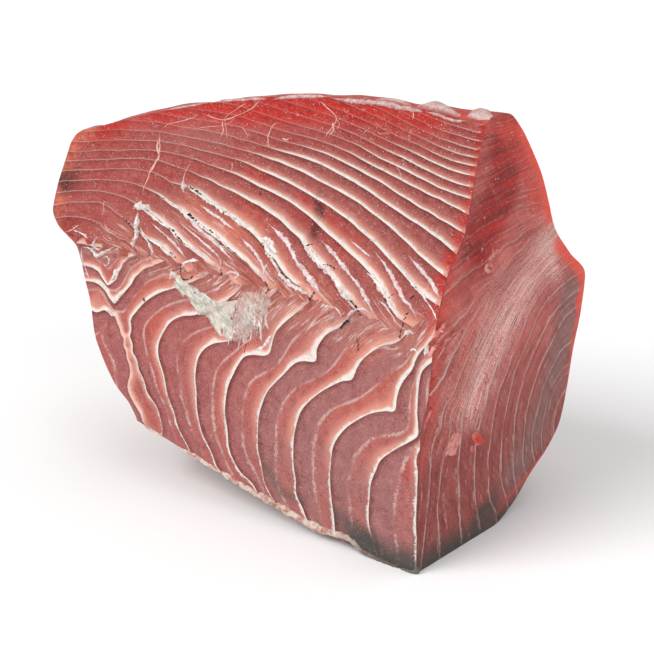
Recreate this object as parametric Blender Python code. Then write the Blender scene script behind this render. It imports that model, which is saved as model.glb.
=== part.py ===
"""Raw tuna loin: a thick block sawn from one side of the fish, skinned, as one solid.

The block is a loft along the fish. Its near side is the flat cut down the middle of the fish, which leans
back above the backbone line. Its far side is the round flank. The right end is a square cut across the
fish, and the left end is the narrower one, towards the tail. Metres, +Z up, the block resting on its flank.
"""
import bpy
import numpy as np

MM = 0.001

# Driving sizes, in millimetres.
TAIL_KEEL = 38.0          # how far the keel edge has risen at the tail end
KEEL_WIDTH = 80.0         # width over which the keel edge comes down to the flat
TAIL_LIFT = 8.0           # the flank curls up off the table at the tail end
SHOULDER_LENGTH = 0.24    # share of the length over which the trimmed rim fills out to the body

# How far the near side lies behind the keel, against height.
LEAN = [(0, 0), (42, 0), (80, 2), (104, 9), (134, 13), (166, 24), (187, 40), (216, 48), (250, 60)]

# Rims of three sections, from the top of the near edge over the back and round to the keel: (y, z).
CUT_RIM = [(59, 242), (68, 246), (80, 244), (92, 234), (104, 219), (116, 201), (124, 184), (131, 168),
           (149, 148), (168, 129), (165, 108), (158, 86), (152, 60), (146, 43), (134, 31), (115, 20),
           (96, 7), (74, 0), (36, 0), (0, 0)]
BODY_RIM = [(59, 244), (71, 243), (86, 237), (101, 228), (116, 215), (129, 200), (139, 185), (147, 167),
            (161, 150), (171, 130), (176, 107), (175, 83), (169, 58), (159, 36), (144, 15), (124, 2),
            (104, 0), (72, 0), (36, 0), (0, 0)]
TAIL_RIM = [(43, 197), (52, 198), (63, 195), (76, 188), (90, 177), (101, 165), (110, 153), (117, 142),
            (123, 130), (128, 116), (131, 98), (129, 78), (122, 56), (110, 34), (98, 18), (84, 6),
            (66, 0), (44, 0), (22, 0), (0, 0)]
RIM_TOP, RIM_BACK = 3, 13  # the rim points where the top ends and where the underside begins

# The tail end's distance from the square cut, against height along the near side.
TAIL_END = [(0, 204), (36, 207), (47, 213), (57, 225), (79, 240), (112, 256), (133, 265), (144, 284),
            (152, 290), (168, 291), (186, 295), (193, 292), (200, 284), (250, 284)]
TAIL_PLANE = (214.0, 0.33)  # the plain saw cut behind that edge: distance at the table, and its slope
TAIL_EDGE_FADE = 45.0

# Muscle blocks on the near side. The white walls between them are chevrons, numbered along the fish, whose
# points lie on the backbone line. Each list holds (x, z) points of one wall's upper or lower arm.
BACKBONE_HEIGHT, BACKBONE_RISE = 133.0, 0.04  # the line's height at the square cut, and its rise to the tail
UPPER_WALLS = {
    5: [(0, 224), (-82, 234)],
    8: [(-1, 209), (-51, 218), (-108, 227)],
    10: [(-2, 197), (-77, 213), (-136, 220)],
    12: [(-2, 177), (-58, 194), (-118, 208), (-227, 213)],
    14: [(-11, 153), (-64, 175), (-129, 193), (-192, 201), (-287, 190)],
    16: [(-52, 138), (-85, 160), (-155, 182), (-220, 188), (-282, 180)],
    18: [(-117, 140), (-156, 157), (-210, 171), (-275, 170)],
    21: [(-227, 142), (-283, 148)],
}
LOWER_WALLS = {
    13: [(-2, 81), (-30, 48), (-29, 13)],
    15: [(-21, 128), (-49, 100), (-81, 75), (-85, 33)],
    17: [(-85, 137), (-115, 101), (-135, 78), (-132, 36)],
    19: [(-167, 112), (-191, 89), (-175, 47)],
    21: [(-198, 137), (-231, 106), (-213, 56), (-192, 31)],
}
UPPER_STEP, LOWER_STEP = 1.0, 1.7       # each block stands this far proud of the next
UPPER_SHARE, LOWER_SHARE = 0.5, 0.3     # the share of a block that its step takes
FINEST_PITCH = 4.0                      # steps closer than this are left flat
SCAR_DEPTH, SCAR_WIDTH = 2.4, 13.0      # the hollow left where the backbone was cut away
FILM_LUMP = 1.2                         # lumps of the film along the top

# Counts of the loft before its flat parts are thinned out.
ROWS_UP, ROWS_OVER, STATIONS = 130, 24, 130
FACES_KEPT = 9600


def smooth(x):
    """Eased step: 0 below 0, 1 above 1, with level ends."""
    x = np.clip(x, 0.0, 1.0)
    return x * x * (3.0 - 2.0 * x)


def profile(points, at):
    """Smooth curve through (position, value) points: cubic pieces with monotone slopes."""
    x, v = np.array(points, float).T
    rise = np.diff(v) / np.diff(x)
    slope = np.zeros_like(v)
    turning = rise[1:] * rise[:-1] <= 0
    both = np.where(turning, 1.0, rise[1:] + rise[:-1])
    slope[1:-1] = np.where(turning, 0.0, 2.0 * rise[1:] * rise[:-1] / both)
    slope[0], slope[-1] = rise[0], rise[-1]
    at = np.clip(at, x[0], x[-1])
    k = np.clip(np.searchsorted(x, at, side="right") - 1, 0, len(x) - 2)
    width = x[k + 1] - x[k]
    u = (at - x[k]) / width
    return (v[k] * (1 + 2 * u) * (1 - u) ** 2 + slope[k] * width * u * (1 - u) ** 2
            + v[k + 1] * u * u * (3 - 2 * u) + slope[k + 1] * width * u * u * (u - 1))


def along(points, at):
    """Points (y, z) at fractional index `at` of a list, on a smooth curve through it."""
    index = np.arange(len(points), dtype=float)
    pts = np.array(points, float)
    return np.stack([profile(list(zip(index, pts[:, c])), at) for c in (0, 1)], -1)


def rim_indices():
    """Fractional rim indices of the loft's rows: over the top, down the back, along the underside."""
    top = np.linspace(0, RIM_TOP, ROWS_OVER + 1)
    back = np.linspace(RIM_TOP, RIM_BACK, ROWS_UP + 1)
    under = np.linspace(RIM_BACK, len(CUT_RIM) - 1, ROWS_OVER + 1)
    return np.concatenate([top[:-1], back[:-1], under[:-1]])


def loft():
    """The block's skin as rows by stations by (x, y, z), in millimetres, x = 0 at the square cut."""
    t = np.linspace(0.0, 1.0, STATIONS + 1)[None, :]
    at = rim_indices()
    filled = smooth(t / SHOULDER_LENGTH)[..., None]
    tapered = np.clip((t - SHOULDER_LENGTH) / (1 - SHOULDER_LENGTH), 0.0, 1.0)[..., None] ** 1.75
    cut, body, tail = (along(rim, at)[:, None, :] for rim in (CUT_RIM, BODY_RIM, TAIL_RIM))
    far = (cut * (1 - filled) + body * filled) * (1 - tapered) + tail * tapered
    top = far[:1, :, 1]
    near_top = np.stack([profile(LEAN, top), top], -1)
    far += (near_top - far[:1]) * (1 - smooth(at / RIM_TOP))[:, None, None]

    keel = TAIL_KEEL * np.clip((t - 0.05) / 0.95, 0.0, None) ** 1.35
    up = np.linspace(0.0, 1.0, ROWS_UP + 1)[:-1, None]
    near_z = keel + up * (top - keel)
    near = np.stack([profile(LEAN, near_z), near_z], -1)
    under = smooth((at - RIM_BACK + 3.0) / 5.0)[:, None]
    rise = keel * np.clip(1 - far[..., 0] / KEEL_WIDTH, 0.0, None) ** 2
    far[..., 1] += under * (rise + TAIL_LIFT * smooth((t - 0.75) / 0.25) * (1 - rise / TAIL_KEEL))

    skin = np.concatenate([near, far], 0)
    behind = np.clip(skin[..., 0] - profile(LEAN, skin[..., 1]), 0.0, None)
    edge = np.exp(-((behind / TAIL_EDGE_FADE) ** 2))
    plane = TAIL_PLANE[0] + TAIL_PLANE[1] * skin[..., 1]
    length = profile(TAIL_END, skin[..., 1]) * edge + plane * (1 - edge)
    x = -t * length
    return np.concatenate([x[..., None], skin], -1)


def spline_through(walls, x, z):
    """Wall number at (x, z): the thin plate spline through every point of the numbered walls."""
    pts = np.array([(*p, number) for number, arm in walls.items() for p in arm], float)
    at, number = pts[:, :2] / 100.0, pts[:, 2]

    def bend(d2):
        return d2 * np.log(d2 + 1e-12)

    n = len(at)
    flat = np.concatenate([np.ones((n, 1)), at], 1)
    system = np.zeros((n + 3, n + 3))
    system[:n, :n] = bend(((at[:, None] - at[None]) ** 2).sum(-1)) + 0.002 * np.eye(n)
    system[:n, n:], system[n:, :n] = flat, flat.T
    weight = np.linalg.solve(system, np.concatenate([number, np.zeros(3)]))
    q = np.stack([x, z], -1) / 100.0
    away = bend(((q[..., None, :] - at) ** 2).sum(-1))
    return away @ weight[:n] + weight[n] + q @ weight[n + 1:]


def near_relief(x, z):
    """Stepped height of the near side: each block swells up to its edge and drops to the next."""
    def saw(number, share):
        part = number - np.floor(number)
        return smooth(np.where(part > 1 - share, (1 - part) / share, part / (1 - share)))

    backbone = BACKBONE_HEIGHT - BACKBONE_RISE * x
    side = smooth((z - backbone + 8.0) / 16.0)
    scar = np.exp(-(((z - backbone + 2.0) / SCAR_WIDTH) ** 2))
    number = spline_through(UPPER_WALLS, x, z)
    pitch = 1.0 / (1e-6 + np.abs(spline_through(UPPER_WALLS, x, z + 1.0) - number))
    upper = UPPER_STEP * smooth((pitch - FINEST_PITCH) / FINEST_PITCH) * saw(number, UPPER_SHARE)
    lower = LOWER_STEP * saw(-spline_through(LOWER_WALLS, x, z), LOWER_SHARE)
    return (side * upper + (1 - side) * lower) * (1 - 0.6 * scar) - SCAR_DEPTH * scar * smooth(-x / 60.0)


def normals(skin):
    """Outward unit normals of the loft's grid, by central differences."""
    round_ = np.roll(skin, -1, 0) - np.roll(skin, 1, 0)
    length = np.gradient(skin, axis=1)
    n = np.cross(round_, length)
    return n / np.linalg.norm(n, axis=-1, keepdims=True)


def with_relief(skin):
    """The loft with the near side's steps, the lateral groove and the lumps of film along the top."""
    x, y, z = skin[..., 0], skin[..., 1], skin[..., 2]
    height = np.zeros(x.shape)
    rows = np.arange(len(skin))[:, None]
    near = (rows <= ROWS_UP) & (z > 3.0)
    height += np.where(near, near_relief(x, z), 0.0)
    back = (rows > ROWS_UP + ROWS_OVER) & (rows < 2 * ROWS_UP + ROWS_OVER)
    height -= np.where(back, 2.2 * np.exp(-(((z - 163.0 + 0.13 * -x) / 5.0) ** 2)), 0.0)
    over = (rows > ROWS_UP) & (rows < ROWS_UP + ROWS_OVER)
    height += np.where(over, FILM_LUMP * np.sin(x / 9.0) * np.exp(-(((x + 34.0) / 30.0) ** 2)), 0.0)
    ends = smooth((z - 4.0) / 8.0)
    return skin + normals(skin) * (height * ends)[..., None]


def end_grid(rim, rise):
    """Grid across an end, from its rim of four sides, swollen by `rise` in the middle."""
    n, m = ROWS_UP, ROWS_OVER
    low_far = 2 * n + m
    near, top = rim[:n + 1], rim[n:n + m + 1]
    far, under = rim[n + m:low_far + 1][::-1], np.concatenate([rim[low_far:], rim[:1]])[::-1]
    u, v = np.linspace(0, 1, n + 1)[:, None, None], np.linspace(0, 1, m + 1)[None, :, None]
    grid = ((1 - v) * near[:, None] + v * far[:, None] + (1 - u) * under[None] + u * top[None]
            - (1 - u) * (1 - v) * near[0] - u * (1 - v) * near[-1]
            - (1 - u) * v * far[0] - u * v * far[-1])
    swell = rise * (16 * u * (1 - u) * v * (1 - v)) ** 0.7
    return grid + swell * np.array([1.0, 0.0, 0.0])


def end_index(first, start):
    """Vertex numbers of an end's grid: its border is the loft's own ring, which begins at `first`."""
    n, m = ROWS_UP, ROWS_OVER
    ring = 2 * (n + m)
    index = np.zeros((n + 1, m + 1), int)
    index[1:-1, 1:-1] = start + np.arange((n - 1) * (m - 1)).reshape(n - 1, m - 1)
    index[:, 0] = first + np.arange(n + 1)
    index[n, :] = first + n + np.arange(m + 1)
    index[:, m] = first + 2 * n + m - np.arange(n + 1)
    index[0, :] = first + (ring - np.arange(m + 1)) % ring
    return index


def quads(index):
    """The four corner numbers of every cell of a grid of vertex numbers."""
    return np.stack([index[:-1, :-1], index[1:, :-1], index[1:, 1:], index[:-1, 1:]], -1).reshape(-1, 4)


def block_mesh():
    """Vertices in millimetres and faces of the whole block, closed at both ends."""
    plain = loft()
    skin = with_relief(plain)
    skin[..., 2] = np.clip(skin[..., 2], 0.0, None)
    ring, stations = skin.shape[:2]
    side = skin.transpose(1, 0, 2).reshape(-1, 3)
    index = np.arange(ring * stations).reshape(stations, ring)
    index = np.concatenate([index, index[:, :1]], 1)
    cut, tail = end_grid(plain[:, 0], 1.5), end_grid(plain[:, -1], -7.0)
    inner = [g[1:-1, 1:-1].reshape(-1, 3) for g in (cut, tail)]
    cut_index = end_index(0, len(side))
    tail_index = end_index(ring * (stations - 1), len(side) + len(inner[0]))
    faces = np.concatenate([quads(index)[:, ::-1], quads(cut_index)[:, ::-1], quads(tail_index)])
    return np.concatenate([side, *inner]), faces


def flesh_material():
    """Wet red flesh."""
    material = bpy.data.materials.new("tuna_flesh")
    material.use_nodes = True
    shader = material.node_tree.nodes["Principled BSDF"]
    shader.inputs["Base Color"].default_value = (0.42, 0.115, 0.095, 1.0)
    shader.inputs["Roughness"].default_value = 0.34
    shader.inputs["Metallic"].default_value = 0.0
    return material


def recentre(mesh):
    """Moves the mesh so that the middle of its underside's box is the origin."""
    co = np.zeros(len(mesh.vertices) * 3, np.float32)
    mesh.vertices.foreach_get("co", co)
    co = co.reshape(-1, 3)
    low, high = co.min(0), co.max(0)
    co -= np.array([(low[0] + high[0]) / 2, (low[1] + high[1]) / 2, low[2]], np.float32)
    mesh.vertices.foreach_set("co", co.ravel())
    mesh.update()


def build():
    for old in list(bpy.data.objects):
        bpy.data.objects.remove(old, do_unlink=True)
    vertices, faces = block_mesh()
    mesh = bpy.data.meshes.new("tuna_loin")
    mesh.from_pydata((vertices * MM).tolist(), [], faces.tolist())
    mesh.validate()
    loin = bpy.data.objects.new("tuna_loin", mesh)
    bpy.context.scene.collection.objects.link(loin)
    mesh.materials.append(flesh_material())

    thin = loin.modifiers.new("thin_flat_parts", "DECIMATE")
    thin.ratio = FACES_KEPT / (2.0 * len(faces))
    bpy.context.view_layer.objects.active = loin
    bpy.ops.object.modifier_apply(modifier=thin.name)
    recentre(loin.data)
    loin.data.shade_smooth()
    loin.data.set_sharp_from_angle(angle=np.radians(38.0))


build()
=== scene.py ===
import math

import bpy
import numpy as np
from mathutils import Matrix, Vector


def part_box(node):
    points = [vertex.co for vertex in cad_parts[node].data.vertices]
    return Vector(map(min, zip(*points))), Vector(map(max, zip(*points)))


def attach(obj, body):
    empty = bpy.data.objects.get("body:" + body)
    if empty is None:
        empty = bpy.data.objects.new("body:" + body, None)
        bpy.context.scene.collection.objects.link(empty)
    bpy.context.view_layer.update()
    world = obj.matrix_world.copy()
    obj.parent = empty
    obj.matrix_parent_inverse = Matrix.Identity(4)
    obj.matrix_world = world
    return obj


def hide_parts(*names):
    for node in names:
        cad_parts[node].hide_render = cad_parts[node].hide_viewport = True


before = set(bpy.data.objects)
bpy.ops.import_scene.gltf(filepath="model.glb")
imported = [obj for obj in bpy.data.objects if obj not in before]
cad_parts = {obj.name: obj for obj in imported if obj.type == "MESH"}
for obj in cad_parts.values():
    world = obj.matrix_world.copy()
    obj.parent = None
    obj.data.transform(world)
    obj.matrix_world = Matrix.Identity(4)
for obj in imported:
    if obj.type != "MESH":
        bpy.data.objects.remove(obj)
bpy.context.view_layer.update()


# The block: a thick piece sawn from one side of a tuna, of wet red muscle in white-walled blocks. Its long
# near cut runs down the middle of the fish, its right end is a square cut, and its skinned flank is behind.
# The form is the one that the solid has: a loft through three sections, swollen and stepped by its muscle.

# Lengths are millimetres from the keel corner until a mesh is made: x along the fish, y through it, z up.
TAIL_KEEL = 38.0          # how far the keel edge has risen at the tail end
KEEL_START = 0.05         # share of the length at which it starts to rise
KEEL_POWER = 1.35
KEEL_WIDTH = 80.0         # width over which the keel edge comes down to the flat
TAIL_LIFT = 8.0           # the flank curls up off the table at the tail end
LIFT_START = 0.75         # share of the length at which it starts to
SHOULDER_LENGTH = 0.24    # share of the length over which the trimmed rim fills out to the body
TAPER_POWER = 1.75        # how late the body tapers towards the tail
LEAN = [(0, 0), (42, 0), (80, 2), (104, 9), (134, 13), (166, 24), (187, 40), (216, 48), (250, 60)]
CUT_RIM = [(59, 242), (68, 246), (80, 244), (92, 234), (104, 219), (116, 201), (124, 184), (131, 168),
           (149, 148), (168, 129), (165, 108), (158, 86), (152, 60), (146, 43), (134, 31), (115, 20),
           (96, 7), (74, 0), (36, 0), (0, 0)]
BODY_RIM = [(59, 244), (71, 243), (86, 237), (101, 228), (116, 215), (129, 200), (139, 185), (147, 167),
            (161, 150), (171, 130), (176, 107), (175, 83), (169, 58), (159, 36), (144, 15), (124, 2),
            (104, 0), (72, 0), (36, 0), (0, 0)]
TAIL_RIM = [(43, 197), (52, 198), (63, 195), (76, 188), (90, 177), (101, 165), (110, 153), (117, 142),
            (123, 130), (128, 116), (131, 98), (129, 78), (122, 56), (110, 34), (98, 18), (84, 6),
            (66, 0), (44, 0), (22, 0), (0, 0)]
RIM_TOP, RIM_BACK = 3, 13  # the rim points where the top ends and where the underside begins
TAIL_END = [(0, 204), (36, 207), (47, 213), (57, 225), (79, 240), (112, 256), (133, 265), (144, 284),
            (152, 290), (168, 291), (186, 295), (193, 292), (200, 284), (250, 284)]
TAIL_PLANE = (214.0, 0.33)         # the tail end behind that edge: its length at z = 0, and its slope
TAIL_EDGE_FADE = 45.0              # depth over which the edge's outline fades into that plane
CUT_SWELL, TAIL_SWELL = 1.5, -7.0  # how far the middle of each end stands out along x
SPLIT_TOP, SPLIT_BACK = 9, 16      # the rim points where the mesh's far side turns its corners
NEAR_ROWS, FAR_ROWS = 118, 59      # half the near side's rows, and the rows over the top and underneath
STATIONS = 118                     # stations along the far side; the near side has twice as many


def smooth(x):
    """Eased step: 3x^2 - 2x^3, from 0 below 0 to 1 above 1."""
    x = np.clip(x, 0.0, 1.0)
    return x * x * (3.0 - 2.0 * x)


def profile(points, at):
    """Smooth curve through (position, value) points: cubic pieces with monotone slopes."""
    x, v = np.array(points, float).T
    rise = np.diff(v) / np.diff(x)
    slope = np.zeros_like(v)
    turning = rise[1:] * rise[:-1] <= 0
    both = np.where(turning, 1.0, rise[1:] + rise[:-1])
    slope[1:-1] = np.where(turning, 0.0, 2.0 * rise[1:] * rise[:-1] / both)
    slope[0], slope[-1] = rise[0], rise[-1]
    at = np.clip(at, x[0], x[-1])
    k = np.clip(np.searchsorted(x, at, side="right") - 1, 0, len(x) - 2)
    width = x[k + 1] - x[k]
    u = (at - x[k]) / width
    return (v[k] * (1 + 2 * u) * (1 - u) ** 2 + slope[k] * width * u * (1 - u) ** 2
            + v[k + 1] * u * u * (3 - 2 * u) + slope[k + 1] * width * u * u * (u - 1))


def along(points, at):
    """Smooth curve through a list of points, one unit of `at` for each: a profile for each coordinate."""
    pts = np.array(points, float)
    index = np.arange(len(pts))
    return np.stack([profile(np.stack([index, column], 1), at) for column in pts.T], -1)


def rims(t, at):
    """Section at share t of the length: the square cut's rim eased into the body's, then the tail's."""
    filled = smooth(t / SHOULDER_LENGTH)[..., None]
    tapered = np.clip((t - SHOULDER_LENGTH) / (1 - SHOULDER_LENGTH), 0.0, 1.0)[..., None] ** TAPER_POWER
    cut, body, tail = (along(rim, at) for rim in (CUT_RIM, BODY_RIM, TAIL_RIM))
    return (cut * (1 - filled) + body * filled) * (1 - tapered) + tail * tapered


def keel_height(t):
    """The keel edge's rise: a power of the share of the length."""
    return TAIL_KEEL * np.clip((t - KEEL_START) / (1 - KEEL_START), 0.0, None) ** KEEL_POWER


def lengthwise(t, y, z):
    """(x, y, z): x is minus t times the length there, which is the tail edge's near the near side."""
    behind = np.clip(y - profile(LEAN, z), 0.0, None)
    edge = np.exp(-((behind / TAIL_EDGE_FADE) ** 2))
    length = profile(TAIL_END, z) * edge + (TAIL_PLANE[0] + TAIL_PLANE[1] * z) * (1 - edge)
    return np.stack([-t * length, y, z], -1)


def near_side(t, up):
    """The long cut: t along it, and `up` the share of its height, leaning back by the lean's profile."""
    keel, top = keel_height(t), rims(t, np.zeros((1, 1)))[..., 1]
    z = keel + up * (top - keel)
    return lengthwise(t + 0.0 * up, profile(LEAN, z), z)


def far_side(t, at):
    """Top, flank and underside: the section's rim, met with the near side above and the keel below."""
    rim = rims(t, at)
    top = rims(t, np.zeros((1, 1)))
    near_top = np.stack([profile(LEAN, top[..., 1]), top[..., 1]], -1)
    rim = rim + (near_top - top) * (1 - smooth(at / RIM_TOP))[..., None]
    under = smooth((at - RIM_BACK + 3.0) / 5.0)
    rise = keel_height(t) * np.clip(1 - rim[..., 0] / KEEL_WIDTH, 0.0, None) ** 2
    lift = TAIL_LIFT * smooth((t - LIFT_START) / (1 - LIFT_START)) * (1 - rise / TAIL_KEEL)
    return lengthwise(t + 0.0 * at, rim[..., 0], rim[..., 1] + under * (rise + lift))


def end_across(near, top, far, under, swell):
    """Coons patch over an end's four edges, swollen along x by `swell` times (16u(1-u)v(1-v))^0.7."""
    u = np.linspace(0, 1, len(near))[:, None, None]
    v = np.linspace(0, 1, len(top))[None, :, None]
    patch = ((1 - v) * near[:, None] + v * far[:, None] + (1 - u) * under[None] + u * top[None]
             - (1 - u) * (1 - v) * near[0] - u * (1 - v) * near[-1]
             - (1 - u) * v * far[0] - u * v * far[-1])
    return patch + swell * (16 * u * (1 - u) * v * (1 - v)) ** 0.7 * np.array([1.0, 0.0, 0.0])


# The photograph's eye. Walls and torn tissue are traced as pixels of the photograph's 654 by 654 frame, and
# the lines of sight through those pixels put them on the block.
PHOTO_MIDDLE = 327.0
AZIMUTH, ELEVATION = math.radians(38.0), math.radians(20.0)
FOCAL = 2000.0                 # the lens, in pixels
KEEL_PIXEL = (416, 574)        # the keel corner in the photograph
KEEL_DEPTH = 1100.0            # its distance along the lens's axis
SIGHT_ROUNDS = 60              # rounds in which a line of sight settles on the leaning cut
RIGHT = np.array([math.cos(AZIMUTH), math.sin(AZIMUTH), 0.0])
BACK = np.array([math.sin(AZIMUTH) * math.cos(ELEVATION), -math.cos(AZIMUTH) * math.cos(ELEVATION),
                 math.sin(ELEVATION)])
UP = np.cross(BACK, RIGHT)


def sight(pixels):
    """Directions through pixels: the axis times the focal length, plus the offsets to the right and up."""
    p = np.asarray(pixels, float)
    return -BACK * FOCAL + RIGHT * (p[..., :1] - PHOTO_MIDDLE) - UP * (p[..., 1:] - PHOTO_MIDDLE)


EYE = -sight(KEEL_PIXEL) * KEEL_DEPTH / FOCAL


def on_near(pixels):
    """Where sight lines meet the plain long cut: y is put on the lean's profile until it settles."""
    ray, y = sight(pixels), np.zeros(np.shape(pixels)[:-1])
    for _ in range(SIGHT_ROUNDS):
        reach = (y - EYE[1]) / ray[..., 1]
        z = EYE[2] + reach * ray[..., 2]
        y = 0.5 * y + 0.5 * profile(LEAN, z)
    return np.stack([EYE[0] + reach * ray[..., 0], y, z], -1)


def on_cut(pixels):
    """Where sight lines meet the square cut, which is the plane x = 0."""
    ray = sight(pixels)
    return EYE - ray * EYE[0] / ray[..., :1]


# Walls between the muscle blocks on the long cut, numbered along the fish. Each wall is a chevron with its
# point on the backbone line, and each list follows one of its arms in the photograph. A number with a
# fraction is a line between two walls, read where they run close together.
UPPER_WALLS = {
    1: [(482, 125.4), (460, 119), (440, 113)],
    2: [(483.8, 133.5), (460, 127.7), (440, 121), (420, 113)],
    3: [(481.5, 142), (460, 136), (440, 130), (420, 121)],
    4: [(480, 151), (460, 145.5), (440, 138.5), (420, 129.5), (400, 119.5)],
    5: [(479, 158.7), (460, 154.6), (440, 147), (420, 137.5), (400, 128), (380, 118)],
    6: [(477.7, 167), (460, 163), (440, 156), (420, 146), (400, 137.5), (380, 128), (360, 119)],
    7: [(475.4, 176.5), (460, 173), (440, 165.5), (420, 156), (400, 146.5), (380, 137.5), (360, 127.7),
        (340, 119.5), (320, 112.3), (300, 106)],
    8: [(473, 187.7), (460, 184.5), (440, 176.6), (420, 167), (400, 156.7), (380, 147), (360, 136.8),
        (340, 128.5), (320, 122), (300, 115.8), (280, 109.5)],
    9: [(470.5, 199), (460, 195.5), (440, 188), (420, 178), (400, 167.7), (380, 158.5), (360, 146.5),
        (340, 138), (320, 131.3), (300, 126), (280, 120), (260, 113.3)],
    10: [(465.4, 213), (460, 209.5), (440, 199), (420, 189.7), (400, 179), (380, 169), (360, 158.7),
         (340, 148.7), (320, 141.2), (300, 135.5), (280, 130), (260, 123), (240, 116.7)],
    11: [(457, 229), (440, 219), (420, 207.6), (400, 195), (380, 181.5), (360, 170.6), (340, 160.2),
         (320, 151.8), (300, 145.5), (280, 140.5), (260, 133.5), (240, 127.3), (200, 120)],
    12: [(452.3, 250.8), (440, 240), (420, 225.5), (400, 212.5), (380, 199), (360, 185.7), (340, 174),
         (320, 163.7), (300, 156.7), (280, 151), (260, 145), (240, 139.5), (220, 133.5), (200, 130),
         (180, 127)],
    13: [(443, 274.6), (420, 256), (400, 236.5), (380, 219), (360, 203.5), (340, 191.5), (320, 181),
         (300, 170.7), (280, 162), (260, 155), (240, 149.3), (220, 143.7), (200, 139.5), (180, 135.8),
         (140, 131), (100, 131), (80, 131.6)],
    14: [(427.7, 297.7), (410, 280.8), (400, 270), (380, 249), (360, 231), (340, 214.5), (320, 200.7),
         (300, 189), (280, 178.6), (260, 169.7), (240, 160.5), (220, 155), (200, 150.3), (180, 144.5),
         (160, 141.5), (120, 140), (80, 142.3)],
    15: [(398.5, 317.7), (380, 286), (360, 261.5), (340, 243.8), (320, 226.5), (300, 209.5), (280, 196.7),
         (260, 187), (240, 176.2), (220, 168.5), (200, 161), (180, 155), (160, 152), (140, 150.4),
         (120, 151.4), (80, 152.5)],
    16: [(358.5, 311.5), (340, 288.5), (320, 262.3), (300, 238.5), (280, 220), (260, 206.7), (240, 195.6),
         (220, 186.2), (200, 176.7), (180, 168.3), (160, 161.2), (140, 158.7), (120, 158.7), (80, 161)],
    17: [(310, 298), (285, 275), (265, 247), (243, 225.4), (225, 212), (209.5, 201.4), (200, 193.5),
         (188, 187.3), (171, 183), (160, 176), (140, 170.7), (120, 169.4), (100, 170.4), (64, 171.5)],
    18: [(265, 285), (240, 257), (228, 246.6), (218, 236.7), (205, 228), (185, 214), (172, 206),
         (160, 196), (148.7, 190.4), (140, 186.6), (120, 181.5), (100, 180.3), (63, 181.7)],
    19: [(205, 262), (183, 242.3), (170, 229), (160, 219.8), (147, 209.5), (126, 198.6), (110, 193.7),
         (100, 191.8), (80, 191.3), (64, 192.7)],
    20: [(172, 258.5), (162.8, 249.4), (142, 236.7), (132.5, 226), (120, 215.5), (110, 207.8),
         (100, 202.8), (70, 202.5)],
    21: [(128, 243), (120, 238.8), (107, 232.5), (100, 224.7), (92, 220.5), (80, 217.6), (60, 217.6)],
}
LOWER_WALLS = {
    12: [(420, 450), (418, 470), (417, 500), (418, 560)],
    13: [(423, 372), (419, 395), (418, 415), (419, 428), (418, 437), (410, 442), (400, 447), (390, 453),
         (382, 460), (377, 470), (373, 480), (371, 495), (370, 510), (371, 525), (374, 538)],
    14: [(428, 345), (414, 368), (405, 380), (401, 388), (398, 399), (397, 410), (389, 411), (379, 412),
         (370, 414), (360, 419), (345, 430), (337, 441), (333, 455), (331, 472), (331, 487), (333, 500),
         (335, 515), (336, 527)],
    15: [(403, 338), (392, 344), (385, 345), (375, 350), (364, 359), (359, 366), (356, 373), (353, 380),
         (345, 381), (335, 385), (325, 390), (312, 400), (302, 412), (297, 425), (295, 440), (295, 458),
         (297, 480), (298, 495), (305, 510)],
    16: [(350, 315), (340, 327), (330, 332), (322, 341), (318, 350), (317, 361), (307, 361), (297, 363),
         (290, 369), (280, 379), (270, 390), (264, 402), (260, 418), (259, 440), (262, 460), (266, 482),
         (273, 497)],
    17: [(308, 302), (297, 312), (287, 321), (277, 332), (273, 345), (270, 354), (255, 355), (246, 357),
         (239, 365), (234, 375), (230, 385), (227, 400), (227, 415), (229, 435), (233, 455), (243, 472),
         (256, 486)],
    18: [(232, 340), (217, 343), (207, 348), (200, 358), (198, 368), (197, 380), (198, 392), (199, 408),
         (203, 430), (215, 458)],
    19: [(195, 315), (183, 316), (172, 322), (165, 332), (160, 345), (161, 360), (165, 375), (171, 400),
         (178, 420), (190, 448)],
    20: [(175, 288), (160, 293), (150, 299), (142, 306), (136, 314), (132, 322), (131, 335), (134, 352),
         (141, 370), (148, 390), (163, 432), (99.5, 312.5), (103, 311), (107, 310.5), (110, 313),
         (113, 316), (115.5, 316), (118, 322), (121, 329), (124.5, 338), (127.5, 350), (130, 362),
         (130.5, 378), (131, 395), (143, 415), (154, 437)],
    20.45: [(127, 324), (127, 331), (139, 386), (148, 415)],
    20.2: [(129, 345), (131.8, 360)],
    19.6: [(106, 318), (109, 335), (114, 352), (120, 370)],
    21: [(158, 263), (150, 266.5), (145, 268), (140, 272), (135, 278), (132, 284), (128, 289), (124, 294),
         (120, 299), (118, 302), (115, 303), (113, 300), (110, 296), (107, 291), (103, 287), (99, 284),
         (95, 282), (90, 281)],
    20.8: [(115, 308), (120, 306)],
    22: [(84, 265.5), (90, 267), (95, 269), (99, 272), (102, 277), (105, 281), (107.5, 285), (112, 283),
         (117, 279), (119, 274), (121, 268), (124, 262), (128, 258), (135, 255)],
}
BACKBONE_LINE = [(432, 318), (400, 331), (355, 315), (310, 300), (265, 289), (215, 276), (165, 262),
                 (112, 250)]


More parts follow.
